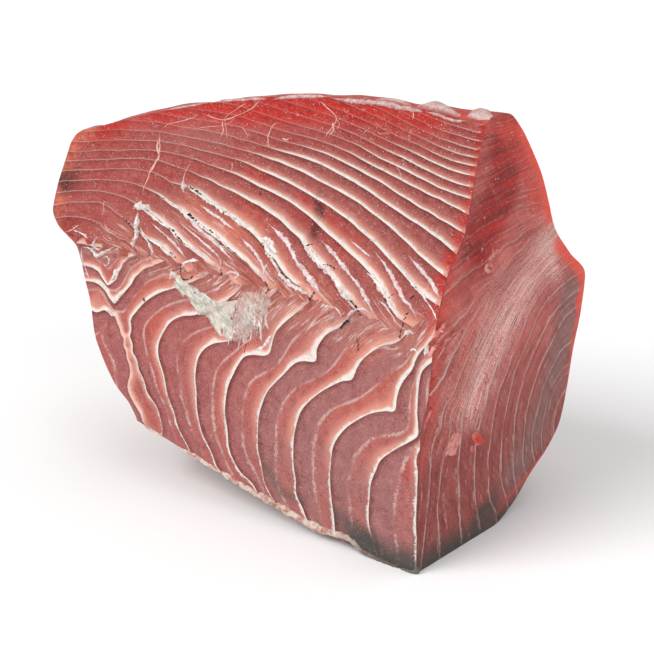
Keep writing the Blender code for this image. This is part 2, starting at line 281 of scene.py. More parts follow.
def spline_through(walls, on_face, at):
    """Wall number at the (a, b) places `at`: the thin plate spline through every traced point."""
    knots = np.concatenate([on_face(pixels) for pixels in walls.values()]) / 100.0
    number = np.concatenate([np.full(len(pixels), float(k)) for k, pixels in walls.items()])
    n = len(knots)

    def bend(a, b):
        square = (a[:, :1] - b[:, 0]) ** 2 + (a[:, 1:] - b[:, 1]) ** 2
        return square * np.log(square + 1e-12)

    flat = np.concatenate([np.ones((n, 1)), knots], 1)
    system = np.zeros((n + 3, n + 3))
    system[:n, :n] = bend(knots, knots) + 3e-4 * np.eye(n)
    system[:n, n:], system[n:, :n] = flat, flat.T
    weight = np.linalg.solve(system, np.concatenate([number, np.zeros(3)]))
    q = np.reshape(at, (-1, 2)) / 100.0
    return (bend(q, knots) @ weight[:n] + weight[n] + q @ weight[n + 1:]).reshape(np.shape(at)[:-1])


def pitch_of(walls, on_face, at, number):
    """Width of a block at `at`, in millimetres: one over the slope of the wall number there."""
    step = np.stack([spline_through(walls, on_face, at + move) - number for move in ((1, 0), (0, 1))])
    return 1.0 / np.maximum(np.hypot(*step), 1e-3)


def rumple(p, wave, seed, count=20):
    """Smooth unevenness of size one: the sum of plane waves about `wave` long in seeded directions."""
    rng = np.random.default_rng(seed)
    turn = rng.normal(size=(count, p.shape[-1]))
    turn /= np.linalg.norm(turn, axis=1, keepdims=True)
    turn *= (2 * np.pi / wave * rng.uniform(0.6, 1.7, count))[:, None]
    return np.sin(p @ turn.T + rng.uniform(0, 2 * np.pi, count)).sum(-1) / math.sqrt(count / 2)


def near_xz(pixels):
    """Pixels on the long cut as (x, z)."""
    return on_near(np.array(pixels, float))[..., ::2]


def cut_yz(pixels):
    """Pixels on the square cut as (y, z)."""
    return on_cut(np.array(pixels, float))[..., 1:]


def bump_at(at, pixel, radius):
    """Round spot of size one about a pixel's place: a Gaussian of the distance over `radius`."""
    return np.exp(-(((at - near_xz(pixel)) ** 2).sum(-1)) / radius ** 2)


def band(at, pixels, width, onto=near_xz):
    """Soft band of size one along a traced line: a Gaussian of the distance to its nearest segment."""
    line = onto(pixels)
    nearest = np.full(at.shape[:-1], 1e9)
    for a, b in zip(line[:-1], line[1:]):
        t = np.clip(((at - a) @ (b - a)) / ((b - a) @ (b - a)), 0.0, 1.0)[..., None]
        nearest = np.minimum(nearest, np.linalg.norm(at - a - t * (b - a), axis=-1))
    return np.exp(-((nearest / width) ** 2))


# The plain skin: stations along the fish and rows up or around it.
t_near = np.linspace(0, 1, 2 * STATIONS + 1)[None, :]
up_near = np.linspace(0, 1, 2 * NEAR_ROWS + 1)[:, None]
t_far = np.linspace(0, 1, STATIONS + 1)[None, :]
at_far = np.concatenate([np.linspace(0, SPLIT_TOP, FAR_ROWS + 1)[:-1],
                         np.linspace(SPLIT_TOP, SPLIT_BACK, NEAR_ROWS + 1)[:-1],
                         np.linspace(SPLIT_BACK, len(CUT_RIM) - 1, FAR_ROWS + 1)])[:, None]
near, far = near_side(t_near, up_near), far_side(t_far, at_far)


def facing(grid, flip):
    """Unit normals of a grid of points: the cross product of its two central differences."""
    n = np.cross(np.gradient(grid, axis=0), np.gradient(grid, axis=1)) * flip
    return n / np.maximum(np.linalg.norm(n, axis=-1, keepdims=True), 1e-9)


# Fields over the long cut: which wall a point is near, how far the blocks are apart and how much shows.
place = near[..., ::2]
x_near, z_near = place[..., 0], place[..., 1]
upper = spline_through(UPPER_WALLS, near_xz, place)
lower = spline_through(LOWER_WALLS, near_xz, place)
line_x, line_z = near_xz(BACKBONE_LINE).T
backbone_z = np.interp(x_near, line_x[::-1], line_z[::-1])
side = z_near - backbone_z + 1.2 * rumple(place, 14.0, 3)
above = side > 0
TOP_EDGE_X, TOP_EDGE_Z = [-295, -250, -190, -90, 0], [197, 213, 229, 243, 243]
under_top = np.interp(x_near, TOP_EDGE_X, TOP_EDGE_Z) - z_near
pitch = np.where(above, pitch_of(UPPER_WALLS, near_xz, place, upper),
                 pitch_of(LOWER_WALLS, near_xz, place, lower))

white_from = near_xz([(440, 140), (400, 146), (385, 150), (345, 150), (272, 149), (245, 160), (205, 178),
                      (150, 190)])[:, 0]
whiter = smooth((x_near - np.interp(upper, [6, 7, 8, 10, 12, 14, 16, 18], white_from)) / 45.0 + 0.35)
thick_up = 0.55 + 0.5 * whiter * smooth((upper - 2.0) / 8.0) + 0.5 * whiter * smooth((upper - 10.5) / 1.5)
thick_up += 1.4 * whiter * smooth((upper - 12.3) / 1.2) * smooth((190.0 - z_near) / 50.0)
thick_low = 1.35 + 0.6 * np.exp(-((side + 26.0) / 20.0) ** 2)
CUSPS = [((393, 406), 2.6), ((350, 376), 2.2), ((311, 357), 2.6), ((266, 351), 2.0), ((413, 434), 1.4),
         ((121, 298), 1.6), ((402, 385), 1.0)]
CUSP_REACH = 5.5
for cusp, size in CUSPS:
    thick_low = thick_low + size * bump_at(place, cusp, CUSP_REACH)
thick = np.where(above, thick_up, thick_low)
glow_from = near_xz([(425, 230), (372, 215), (292, 186), (238, 178), (215, 183), (150, 190)])[:, 0]
glow_up = smooth((x_near - np.interp(upper, [12, 13, 14, 15, 16, 18], glow_from)) / 30.0)
glow_up = np.maximum(glow_up * smooth((upper - 11.4) / 0.8), 0.7 * whiter * smooth((upper - 3.0) / 4.0))
glow_low = 0.85 * smooth((side + 102.0) / 34.0) * smooth(-side / 7.0)
glow_low = np.maximum(glow_low, smooth((-x_near - 175.0) / 30.0) * smooth((side + 120.0) / 30.0))
glowing = np.where(above, glow_up, glow_low)
muted = smooth((-side - 42.0) / 45.0) * smooth((x_near + 235.0) / 70.0)
tattered = np.where(above, smooth((upper - 13.0) / 2.0) * smooth((150.0 - z_near) / 40.0),
                    smooth((-side - 45.0) / 30.0))
strong_up = (0.3 + 0.7 * whiter) * smooth((-x_near - 1.2 - 0.5 * rumple(place, 7.0, 9)) / 1.4)
strong_up *= 0.35 + 0.65 * smooth((under_top - 4.0) / 22.0)
strong_low = 0.35 + 0.65 * smooth((-side - 4.0) / 14.0)
strong_low *= smooth((z_near - 12.0) / 12.0 + smooth((-x_near - 30.0) / 20.0)
                     + smooth((x_near + 5.0) / 3.0))
strong_low *= 1 - 0.6 * band(place, [(117, 320), (124, 338), (130, 362), (131, 395), (150, 432)], 4.0)
strength = np.where(above, strong_up * smooth((side - 2.0) / 8.0), strong_low)

# The relief: each block swells up to its wall and the next starts lower, and the scar is a rough hollow.
WALL_DROP = 2.6                          # length over which a block's edge drops at the wall
STEP_SHARE = 0.11                        # height of an upper block's step, as a share of the block's width
STEP_LEAST, STEP_MOST = 0.3, 1.3
SCAR_WIDTH, SCAR_DEPTH = 13.0, 2.2
EDGE_SHARE, CUT_EDGE_SHARE = 0.02, 0.008 # shares over which relief fades at an edge and at the square cut
block_share = np.where(above, upper - np.floor(upper), np.ceil(lower) - lower)


def shingle(share, width, height):
    """Stepped relief: a block swells with the square of its share, then drops over WALL_DROP."""
    drop = np.clip(WALL_DROP / width, 0.05, 0.5)
    return height * np.where(share < drop, 1 - smooth(share / drop), ((share - drop) / (1 - drop)) ** 2)


step = np.where(above, np.clip(pitch * STEP_SHARE, STEP_LEAST, STEP_MOST), STEP_MOST)
scar = np.exp(-((side / SCAR_WIDTH) ** 2)) * smooth(-x_near / 60.0)
relief = shingle(block_share, pitch, step) * (1 - 0.55 * scar) - SCAR_DEPTH * scar
relief += scar * 0.7 * rumple(place, 9.0, 5) + 0.25 * rumple(place, 26.0, 7)
edge_fade = smooth(up_near / EDGE_SHARE) * smooth((1 - up_near) / EDGE_SHARE)
edge_fade = edge_fade * smooth(t_near / CUT_EDGE_SHARE) * smooth((1 - t_near) / EDGE_SHARE)
near_faces_out = facing(near, 1.0)
near += near_faces_out * (relief * edge_fade)[..., None]

# The flank swells and dips a little, with a groove along the lateral line and lumps of film on top.
GROOVE = (163.0, 0.13, 5.0)              # height at the square cut, rise along x, and width
DARK_MUSCLE = (140.0, 0.10, 12.0)        # the same of the dark band
GROOVE_FROM, GROOVE_TO = 5, 12           # the rim points that the groove lies between


def lengthwise_band(height, slope, width):
    """Band along the flank about height + slope * x: a Gaussian of the distance over `width`."""
    return np.exp(-(((far[..., 2] - height - slope * far[..., 0]) / width) ** 2))


far_faces_out = facing(far, 1.0)
groove = lengthwise_band(*GROOVE) * (at_far > GROOVE_FROM) * (at_far < GROOVE_TO)
top_lumps = np.exp(-(((far[..., 0] + 34.0) / 30.0) ** 2)) * smooth(at_far) * smooth(RIM_TOP - at_far)
swell = -1.2 * groove + 0.8 * top_lumps * np.sin(far[..., 0] / 9.0) + 0.5 * rumple(far, 38.0, 11)
swell *= smooth((far[..., 2] - 3.0) / 8.0) * smooth(at_far)
swell *= smooth(t_far / EDGE_SHARE) * smooth((1 - t_far) / EDGE_SHARE)
far += far_faces_out * swell[..., None]
far[..., 2] = np.clip(far[..., 2], 0.0, None)

# The flank's walls are W shapes, their corners rounded by a mean over five heights. The dark muscle is a
# band along the lateral line.
W_HEIGHTS, W_SHIFTS = [0, 62, 128, 152, 198, 250], [-8, 24, -14, -14, 20, -6]
FLANK_PITCH = 15.0
zigzag = sum(np.interp(far[..., 2] + move, W_HEIGHTS, W_SHIFTS) for move in (-7.0, -3.5, 0.0, 3.5, 7.0)) / 5
zigzag *= 1 + 0.15 * rumple(far, 90.0, 21)
flank_number = (far[..., 0] + zigzag + 2.0 * rumple(far, 55.0, 22)) / FLANK_PITCH
lateral_line = lengthwise_band(*DARK_MUSCLE)
far[0], far[-1] = near[-1, ::2], near[0, ::2]
near[..., 2] = np.clip(near[..., 2], 0.0, None)

turn_a, turn_b = FAR_ROWS, FAR_ROWS + NEAR_ROWS
ends = []
for column, lift in ((0, CUT_SWELL), (-1, TAIL_SWELL)):
    ends.append(end_across(near[::2, column], far[:turn_a + 1, column],
                           far[turn_a:turn_b + 1, column][::-1], far[turn_b:, column][::-1], lift))

# Vertex numbers of each grid. The far side and the ends share the near side's border at every other point.
near_count = near[..., 0].size
near_index = np.arange(near_count).reshape(near.shape[:2])
far_index = np.zeros(far.shape[:2], int)
far_index[1:-1] = near_count + np.arange(far[1:-1, :, 0].size).reshape(len(far) - 2, -1)
far_index[0], far_index[-1] = near_index[-1, ::2], near_index[0, ::2]
first = near_count + far[1:-1, :, 0].size
end_index = []
for column, patch in zip((0, -1), ends):
    index = np.zeros(patch.shape[:2], int)
    index[1:-1, 1:-1] = first + np.arange(patch[1:-1, 1:-1, 0].size).reshape(len(patch) - 2, -1)
    index[:, 0] = near_index[::2, column]
    index[-1] = far_index[:turn_a + 1, column]
    index[:, -1] = far_index[turn_a:turn_b + 1, column][::-1]
    index[0] = far_index[turn_b:, column][::-1]
    first += patch[1:-1, 1:-1, 0].size
    end_index.append(index)


def cells(index):
    """Four corner numbers of each cell of a grid, counter-clockwise with rows up and columns right."""
    return np.stack([index[:-1, :-1], index[:-1, 1:], index[1:, 1:], index[1:, :-1]], -1).reshape(-1, 4)


def cells_with_middles(corner_a, middle, corner_b, inner_a, inner_b):
    """Five-cornered cells along a border that has twice the points: corner, middle, corner, two inner."""
    return np.stack([corner_a, middle, corner_b, inner_b, inner_a], -1)


cut_index, tail_index = end_index
faces_near = cells(near_index)[:, ::-1]
faces_far = [cells(far_index[1:-1])[:, ::-1],
             cells_with_middles(far_index[0, :-1], near_index[-1, 1::2], far_index[0, 1:],
                                far_index[1, :-1], far_index[1, 1:])[:, ::-1],
             cells_with_middles(far_index[-1, :-1], near_index[0, 1::2], far_index[-1, 1:],
                                far_index[-2, :-1], far_index[-2, 1:])]
faces_ends = [cells(cut_index[:, 1:]),
              cells_with_middles(cut_index[:-1, 0], near_index[1::2, 0], cut_index[1:, 0],
                                 cut_index[:-1, 1], cut_index[1:, 1])[:, ::-1],
              cells(tail_index[:, 1:])[:, ::-1],
              cells_with_middles(tail_index[:-1, 0], near_index[1::2, -1], tail_index[1:, 0],
                                 tail_index[:-1, 1], tail_index[1:, 1])]
vertices = np.concatenate([near.reshape(-1, 3), far[1:-1].reshape(-1, 3),
                           *[patch[1:-1, 1:-1].reshape(-1, 3) for patch in ends]])

low, high = (np.array(corner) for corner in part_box("tuna_loin"))
KEEL_CORNER = (low + high) / 2 - (vertices.min(0) + vertices.max(0)) / 2000.0


def to_frame(points):
    """Places from the keel corner in millimetres, as metres in the frame."""
    return points * 0.001 + KEEL_CORNER


SHARP_FROM = math.radians(42.0)


def mesh_piece(name, points, groups, materials, values):
    """A finished piece: vertices, groups of faces with one material each, and values on the vertices."""
    mesh = bpy.data.meshes.new(name)
    faces = [face for group in groups for part in group for face in part.tolist()]
    mesh.from_pydata(to_frame(points).tolist(), [], faces)
    for material in materials:
        mesh.materials.append(material)
    sizes = [sum(len(part) for part in group) for group in groups]
    mesh.polygons.foreach_set("material_index", np.repeat(np.arange(len(groups)), sizes).astype(np.int32))
    for label, field in values:
        attribute = mesh.attributes.new(label, "FLOAT_VECTOR", "POINT")
        attribute.data.foreach_set("vector", np.asarray(field, np.float32).ravel())
    mesh.shade_smooth()
    mesh.set_sharp_from_angle(angle=SHARP_FROM)
    mesh.validate()
    piece = bpy.data.objects.new(name, mesh)
    bpy.context.scene.collection.objects.link(piece)
    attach(piece, "root")
    return piece


class Wire:
    """An output socket of the material being made. Sums of wires and numbers add its Math nodes."""
    tree = None

    def __init__(self, socket):
        self.socket = socket

    @classmethod
    def node(cls, kind, settings=None, sockets=None, out=0):
        """Adds a node: its settings first, then the values or links of its sockets."""
        node = cls.tree.nodes.new(kind)
        for key, value in (settings or {}).items():
            setattr(node, key, value)
        for key, value in (sockets or {}).items():
            if isinstance(value, Wire):
                cls.tree.links.new(value.socket, node.inputs[key])
            else:
                node.inputs[key].default_value = value
        return cls(node.outputs[out])

    def math(self, operation, *others):
        """A Math node on this value and the others."""
        return Wire.node("ShaderNodeMath", {"operation": operation}, dict(enumerate((self, *others))))

    def __add__(self, other):
        return self.math("ADD", other)

    __radd__ = __add__

    def __mul__(self, other):
        return self.math("MULTIPLY", other)

    __rmul__ = __mul__

    def __sub__(self, other):
        return self.math("SUBTRACT", other)

    def __rsub__(self, other):
        return Wire.node("ShaderNodeMath", {"operation": "SUBTRACT"}, {0: other, 1: self})

    def __pow__(self, power):
        return self.math("POWER", power)

    def rise(self, start, end):
        """Eased step of this value from `start` to `end`, which may be wires too."""
        return Wire.node("ShaderNodeMapRange", {"interpolation_type": "SMOOTHSTEP"},
                         {"Value": self, "From Min": start, "From Max": end})

    def mix(self, a, b):
        """Colour a where this is 0 and b where it is 1."""
        a, b = ((*c, 1.0) if isinstance(c, tuple) else c for c in (a, b))
        return Wire.node("ShaderNodeMix", {"data_type": "RGBA"}, {0: self, 6: a, 7: b}, out=2)

    def parts(self):
        """The three numbers of a vector."""
        node = Wire.node("ShaderNodeSeparateXYZ", None, {0: self}).socket.node
        return [Wire(socket) for socket in node.outputs]


def new_material(name):
    """A material whose tree is then drawn with wires; returns it and its main shader."""
    material = bpy.data.materials.new(name)
    material.use_nodes = True
    Wire.tree = material.node_tree
    return material, material.node_tree.nodes["Principled BSDF"]


def grain(scale, detail=3.0, roughness=0.6, stretch=None):
    """Cloudy noise on object coordinates with `scale` features to the metre, from 0 to 1. With `stretch`,
    its features are so many times longer along axes that are turned by so much."""
    where = Wire.node("ShaderNodeTexCoord", out="Object")
    if stretch:
        where = Wire.node("ShaderNodeMapping", {"vector_type": "TEXTURE"},
                          {"Vector": where, "Scale": stretch[0], "Rotation": stretch[1]})
    return Wire.node("ShaderNodeTexNoise", None,
                     {"Vector": where, "Scale": scale, "Detail": detail, "Roughness": roughness})


def grain_in(across, along_it, scale=1.0, detail=3.0):
    """Noise stretched along a family of lines: their number is one coordinate, a length the other."""
    where = Wire.node("ShaderNodeCombineXYZ", None, {0: across, 1: along_it})
    return Wire.node("ShaderNodeTexNoise", None, {"Vector": where, "Scale": scale, "Detail": detail})


def flecks(scale, size, share):
    """Small round flecks: cells nearer than `size` of a cell to their middle, in a share of the cells."""
    where = Wire.node("ShaderNodeTexCoord", out="Object")
    cell = Wire.node("ShaderNodeTexVoronoi", None, {"Vector": where, "Scale": scale})
    chance = Wire(cell.socket.node.outputs["Color"]).parts()[0]
    return (1 - cell.rise(size * 0.4, size)) * (1 - chance.rise(share, share + 0.02))


def finish_material(shader, colour, roughness, height, depth, wet=0.5):
    """Joins colour, roughness and a bump of `depth` metres to the shader. Its wetness is in small spots."""
    links = Wire.tree.links
    links.new(colour.socket, shader.inputs["Base Color"])
    links.new(roughness.socket, shader.inputs["Roughness"])
    bump = Wire.node("ShaderNodeBump", None, {"Strength": 1.0, "Distance": depth, "Height": height})
    links.new(bump.socket, shader.inputs["Normal"])
    spots = grain(420.0, 3.0, 0.6).rise(0.56, 0.70) * wet
    links.new(spots.socket, shader.inputs["Coat Weight"])
    shader.inputs["Specular IOR Level"].default_value = 0.22
    shader.inputs["Coat Roughness"].default_value = 0.12
    shader.inputs["Subsurface Weight"].default_value = 0.12
    shader.inputs["Subsurface Radius"].default_value = (0.004, 0.0015, 0.001)
    shader.inputs["Subsurface Scale"].default_value = 0.4


def carried(name):
    """The three numbers that one of the mesh's attributes carries."""
    return Wire.node("ShaderNodeAttribute", {"attribute_name": name}, out="Vector").parts()


def object_place():
    """The three object coordinates, in metres."""
    return Wire.node("ShaderNodeTexCoord", out="Object").parts()


# Colours of the long cut. An upper block is dusty red, and a lower one mauve with salmon towards its wall.
DUSTY, DUSTY_RED = (0.46, 0.092, 0.076), (0.43, 0.060, 0.048)
SALMON, MAUVE = (0.52, 0.125, 0.100), (0.395, 0.148, 0.139)
DULL_SALMON, DULL_MAUVE = (0.47, 0.142, 0.124), (0.385, 0.155, 0.148)
DEEP_RED, SHADOW = (0.56, 0.024, 0.016), (0.17, 0.022, 0.019)
GLOW, WALL_WHITE = (0.86, 0.40, 0.30), (0.88, 0.80, 0.74)
DEEP_GREY, HAZE = (0.085, 0.075, 0.068), (0.68, 0.34, 0.30)

long_cut, shader = new_material("long_cut_flesh")
up_number, low_number, side_of = carried("walls")
wall_pitch, wall_thick, wall_strength = carried("wall_form")
warm, dull, torn = carried("wall_look")
redness, greyness, haze = carried("tints")
orange, dark, frayed = carried("more_tints")
x_at, _, z_at = object_place()
dust, fine, middling, broad = grain(2600.0, 2.0), grain(1000.0, 3.0), grain(260.0, 4.0), grain(45.0, 3.0)
over = side_of.rise(-0.4, 0.4)
number = over * up_number + (1 - over) * low_number
streak = grain_in(number * 4.0, x_at * 160.0 + z_at * 90.0, 1.0, 4.0)
share = over * up_number.math("FRACT") + (1 - over) * (0 - low_number).math("FRACT")
ragged = (fine - 0.5) * (1.0 + 2.6 * torn) + (middling - 0.5) * (1.0 + 2.8 * torn)
to_wall = (1 - share) * wall_pitch + ragged
swing = grain(38.0, 3.0).rise(0.3, 0.7)
wall_thick = wall_thick * over.math("MULTIPLY_ADD", 0.35 - 0.9 * swing, 0.5 + 1.25 * swing)
past_wall = share * wall_pitch + ragged * 0.5
white = (1 - to_wall.rise(wall_thick * 0.4, wall_thick * 1.3)) * wall_strength
glow = (1 - to_wall.rise(0.3, wall_thick * 1.6 + wall_pitch * 0.24 + 0.8)) ** 1.6 * warm
blush = (1 - share.rise(0.98, 0.35)) * warm
shade = (1 - past_wall.rise(0.0, 3.4)) ** 1.5 * (0.35 + 0.65 * wall_strength) * (0.30 + 0.65 * swing)
later = (share + (middling - 0.5) * 0.25).rise(0.40, 0.60)
salmon_share = later * (0.35 + grain(28.0, 3.0).rise(0.35, 0.6) * 0.65)
low_tone = salmon_share.mix(dull.mix(MAUVE, DULL_MAUVE), dull.mix(SALMON, DULL_SALMON))
high_tone = blush.mix(broad.rise(0.35, 0.65).mix(DUSTY, DUSTY_RED), (0.54, 0.150, 0.118))
high_tone = (wall_strength * (0.4 + 0.6 * broad)).mix(high_tone, (0.355, 0.100, 0.092))
tone = over.mix(low_tone, high_tone)
tone = (redness * (0.75 + 0.5 * broad)).rise(0.0, 1.0).mix(tone, DEEP_RED)
tone = (orange * (0.7 + 0.6 * middling)).rise(0.0, 1.0).mix(tone, (0.66, 0.155, 0.095))
tone = (dark * (0.7 + 0.6 * middling)).rise(0.1, 1.0).mix(tone, (0.13, 0.020, 0.020))
mottle = (middling - 0.5) * 1.3 + (fine - 0.5) * 1.5 + (dust - 0.5) * 1.2 + (streak - 0.5) * 0.8
tone = (0 - mottle).rise(0.0, 0.75).mix(tone, SHADOW)
tone = mottle.rise(0.0, 1.1).mix(tone, HAZE)
half_line = (1 - ((share - 0.5).math("ABSOLUTE") * wall_pitch + ragged * 2.0).rise(0.1, 1.1)) * (1 - over)
tone = (half_line * grain(60.0).rise(0.34, 0.55) * 0.8).mix(tone, (0.68, 0.45, 0.41))
fray_lines = grain_in(number * 15.0, x_at * 75.0 + z_at * 45.0, 1.0, 5.0)
tone = (frayed * (0.3 + 0.5 * broad)).mix(tone, (0.56, 0.190, 0.140))
tone = (frayed * (0.5 - fray_lines).rise(0.02, 0.22)).mix(tone, (0.30, 0.045, 0.038))
tone = (frayed * fray_lines.rise(0.52, 0.66) * (0.35 + fine)).rise(0.0, 1.0).mix(tone, (0.80, 0.58, 0.55))
tone = (frayed * (fray_lines + middling * 0.5).rise(0.88, 0.98)).mix(tone, (0.78, 0.66, 0.63))
tone = (glow * 0.95).mix(tone, GLOW)
tone = shade.mix(tone, SHADOW)
tone = (greyness * (0.5 + middling)).rise(0.15, 0.95).mix(tone, DEEP_GREY)
tone = (haze * (0.7 + 0.6 * grain(330.0, 5.0, 0.7))).rise(0.05, 1.1).mix(tone, (0.50, 0.27, 0.245))
tone = white.mix(tone, WALL_WHITE)
speck = flecks(480.0, 0.26, 0.5) * grain(120.0).rise(0.3, 0.55) * (0.4 + 0.6 * over)
speck = speck.math("MAXIMUM", flecks(800.0, 0.3, 0.45) * grain(75.0, 4.0).rise(0.42, 0.62))
tone = (speck * 0.8).mix(tone, (0.84, 0.66, 0.60))
tone = (flecks(620.0, 0.3, 0.12) * 0.35).mix(tone, SHADOW)
relief_map = white * 0.9 + glow * 0.3 + fine * 0.9 + middling + dust * 0.5 + speck * 0.8
relief_map = relief_map - shade * 0.5 + streak * 0.8
finish_material(shader, tone, 0.34 + 0.24 * middling + 0.1 * white, relief_map, 0.0015)

square_cut, shader = new_material("square_cut_flesh")
arc_number, clear, _ = carried("arcs")
redness, greyness, haze = carried("cut_tints")
orange, dark, bottom = carried("more_cut_tints")
_, y_at, z_at = object_place()
dust, fine, middling, broad = grain(2600.0, 2.0), grain(1000.0, 3.0), grain(260.0, 4.0), grain(50.0, 3.0)
streak = grain_in(arc_number * 5.0, z_at * 60.0 + y_at * 25.0, 1.0, 5.0)
coarse_streak = grain_in(arc_number * 1.7, z_at * 30.0 + y_at * 12.0, 1.0, 3.0)
hair = grain_in(arc_number * 15.0, z_at * 45.0 + y_at * 25.0, 1.0, 3.0)
scratch = grain(300.0, 3.0, 0.6, ((1.0, 5.5, 0.7), (math.radians(-52.0), 0.0, 0.0)))
quiet = (1 - 0.75 * dark) * (1 - 0.8 * orange.rise(0.1, 0.6))
wobble = (middling - 0.5) * 0.14 + (fine - 0.5) * 0.08
near_line = ((arc_number + wobble).math("FRACT") - 0.5).math("ABSOLUTE")
pale_line = near_line.rise(0.43, 0.49) * (0.35 + 0.65 * clear) * grain(75.0).rise(0.30, 0.55) * quiet
dark_line = ((arc_number + wobble + 0.40).math("FRACT") - 0.5).math("ABSOLUTE")
dark_line = (1 - dark_line.rise(0.02, 0.16)) * 0.16 * quiet
second = ((arc_number * 2.0 + wobble * 2.0 + 0.2).math("FRACT") - 0.5).math("ABSOLUTE")
second = second.rise(0.40, 0.485) * grain(95.0).rise(0.5, 0.66) * 0.6 * quiet
tone = coarse_streak.rise(0.35, 0.65).mix((0.44, 0.074, 0.062), (0.60, 0.135, 0.115))
tone = (0.62 - 0.62 * z_at.rise(0.03, 0.14)).mix(tone, (0.20, 0.040, 0.034))
dark_tone = coarse_streak.rise(0.35, 0.65).mix((0.24, 0.007, 0.006), (0.50, 0.014, 0.010))
tone = (dark * (0.8 + 0.4 * middling)).rise(0.0, 0.75).mix(tone, dark_tone)
redder = redness * (0.1 + 1.8 * broad) * (0.5 + streak) * (0.4 + 1.2 * middling)
tone = redder.rise(0.15, 1.2).mix(tone, (0.66, 0.056, 0.038))
tone = (greyness * (0.7 + 0.6 * middling)).rise(0.0, 1.0).mix(tone, (0.285, 0.125, 0.112))
haze = haze * (0.45 + 1.1 * grain(26.0, 3.0))
tone = (haze * (0.6 + 0.8 * middling)).rise(0.05, 1.1).mix(tone, (0.70, 0.240, 0.208))
tone = (haze * (hair * 0.7 + fine * 0.6).rise(0.52, 0.80)).rise(0.0, 0.8).mix(tone, (0.92, 0.56, 0.51))
tone = (orange * (0.6 + 0.5 * middling + 0.3 * streak)).rise(0.0, 1.0).mix(tone, (0.88, 0.080, 0.044))
mottle = (streak - 0.5) * 1.6 + (hair - 0.5) + (scratch - 0.5) * 1.3 + (fine - 0.5) * 1.6
mottle = mottle + (dust - 0.5) * 1.2
tone = ((0 - mottle).rise(0.0, 1.0) * (0.4 + 0.6 * quiet)).mix(tone, (0.14, 0.018, 0.016))
tone = (mottle.rise(0.0, 1.5) * (0.3 + 0.7 * quiet)).mix(tone, (0.70, 0.42, 0.38))
tone = (bottom * (0.4 + 0.6 * middling + 0.6 * broad)).rise(0.05, 0.9).mix(tone, (0.075, 0.063, 0.058))
tone = (dark_line * (1 - dark)).mix(tone, (0.16, 0.022, 0.020))
line_tone = bottom.mix((0.76, 0.50, 0.46), (0.30, 0.22, 0.20))
tone = second.math("MAXIMUM", pale_line * 0.8).mix(tone, line_tone)
tone = (flecks(560.0, 0.24, 0.14) * 0.6).mix(tone, (0.76, 0.54, 0.49))
blood = (flecks(330.0, 0.3, 0.30) * greyness * (0.4 + middling)).rise(0.1, 0.8)
tone = blood.mix(tone, (0.24, 0.016, 0.013))
glints = grain_in(arc_number * 3.0, y_at * 260.0, 1.0, 2.0).rise(0.63, 0.69) * (dark + 0.3 * redness)
glints = glints * grain(160.0).rise(0.5, 0.6)
tone = (glints * 0.85).mix(tone, (0.80, 0.66, 0.60))
relief_map = (streak + hair * 0.6) * (0.4 + 0.4 * quiet) + fine * 0.9 + pale_line * 0.6 - dark_line * 1.2
relief_map = relief_map + scratch * 0.8 + middling * 0.9 + dust * 0.2
finish_material(shader, tone, 0.34 + 0.24 * middling, relief_map, 0.0015)

flank, shader = new_material("flank_flesh")
wall_number, lateral, _ = carried("flank_walls")
_, _, z_at = object_place()
dust, fine, middling, broad = grain(2600.0, 2.0), grain(1000.0, 3.0), grain(260.0, 4.0), grain(40.0, 4.0)
streak = grain_in(wall_number * 5.0, z_at * 90.0, 1.0, 4.0)
share = (wall_number + (middling - 0.5) * 0.16 + (fine - 0.5) * 0.06).math("FRACT")
to_wall = 0.5 - (share - 0.5).math("ABSOLUTE")
line = (1 - to_wall.rise(0.012, 0.05)) * (0.25 + 0.75 * grain(45.0).rise(0.38, 0.58))
# Painted shade of stepped blocks: each block is darker just past its wall and lighter towards the next.
tone = share.rise(0.1, 0.9).mix((0.40, 0.085, 0.072), (0.50, 0.125, 0.100))
tone = broad.rise(0.45, 0.72).mix(tone, (0.50, 0.058, 0.042))
tone = (z_at.rise(0.2, 0.245) * 0.6).mix(tone, (0.55, 0.050, 0.036))
dark_muscle = (lateral + (broad - 0.5) * 1.2 + (middling - 0.5) * 0.5).rise(0.35, 0.95) * 0.8
tone = dark_muscle.mix(tone, (0.19, 0.024, 0.020))
film_left = grain(60.0, 5.0, 0.65, ((5.0, 1.0, 0.8), (0.0, math.radians(-6.0), 0.0))).rise(0.52, 0.66)
tone = (film_left * (0.25 + 0.6 * streak)).mix(tone, (0.58, 0.36, 0.33))
mottle = (middling - 0.5) * 1.3 + (fine - 0.5) * 1.5 + (dust - 0.5) * 1.2 + (streak - 0.5) * 1.2
tone = (0 - mottle).rise(0.0, 0.9).mix(tone, SHADOW)
tone = mottle.rise(0.0, 1.2).mix(tone, HAZE)
# Painted shade just past each wall.
tone = ((1 - share.rise(0.0, 0.16)) * 0.35).mix(tone, SHADOW)
tone = (line * 0.75).mix(tone, (0.72, 0.52, 0.47))
tone = (1 - (z_at + (middling - 0.5) * 0.03).rise(0.0, 0.045)).mix(tone, (0.34, 0.22, 0.19))
relief_map = line * 0.6 + fine * 0.8 + middling + dust * 0.4 + streak * 0.9
finish_material(shader, tone, 0.34 + 0.24 * middling, relief_map, 0.0014)


# Tints of the long cut: how red, grey and filmy each place is, then how orange, dark and frayed.
def bands(at, rows, onto=near_xz):
    """Sum of soft bands, each given as its strength, its traced line and its width."""
    return sum(strength * band(at, line, width, onto) for strength, line, width in rows)


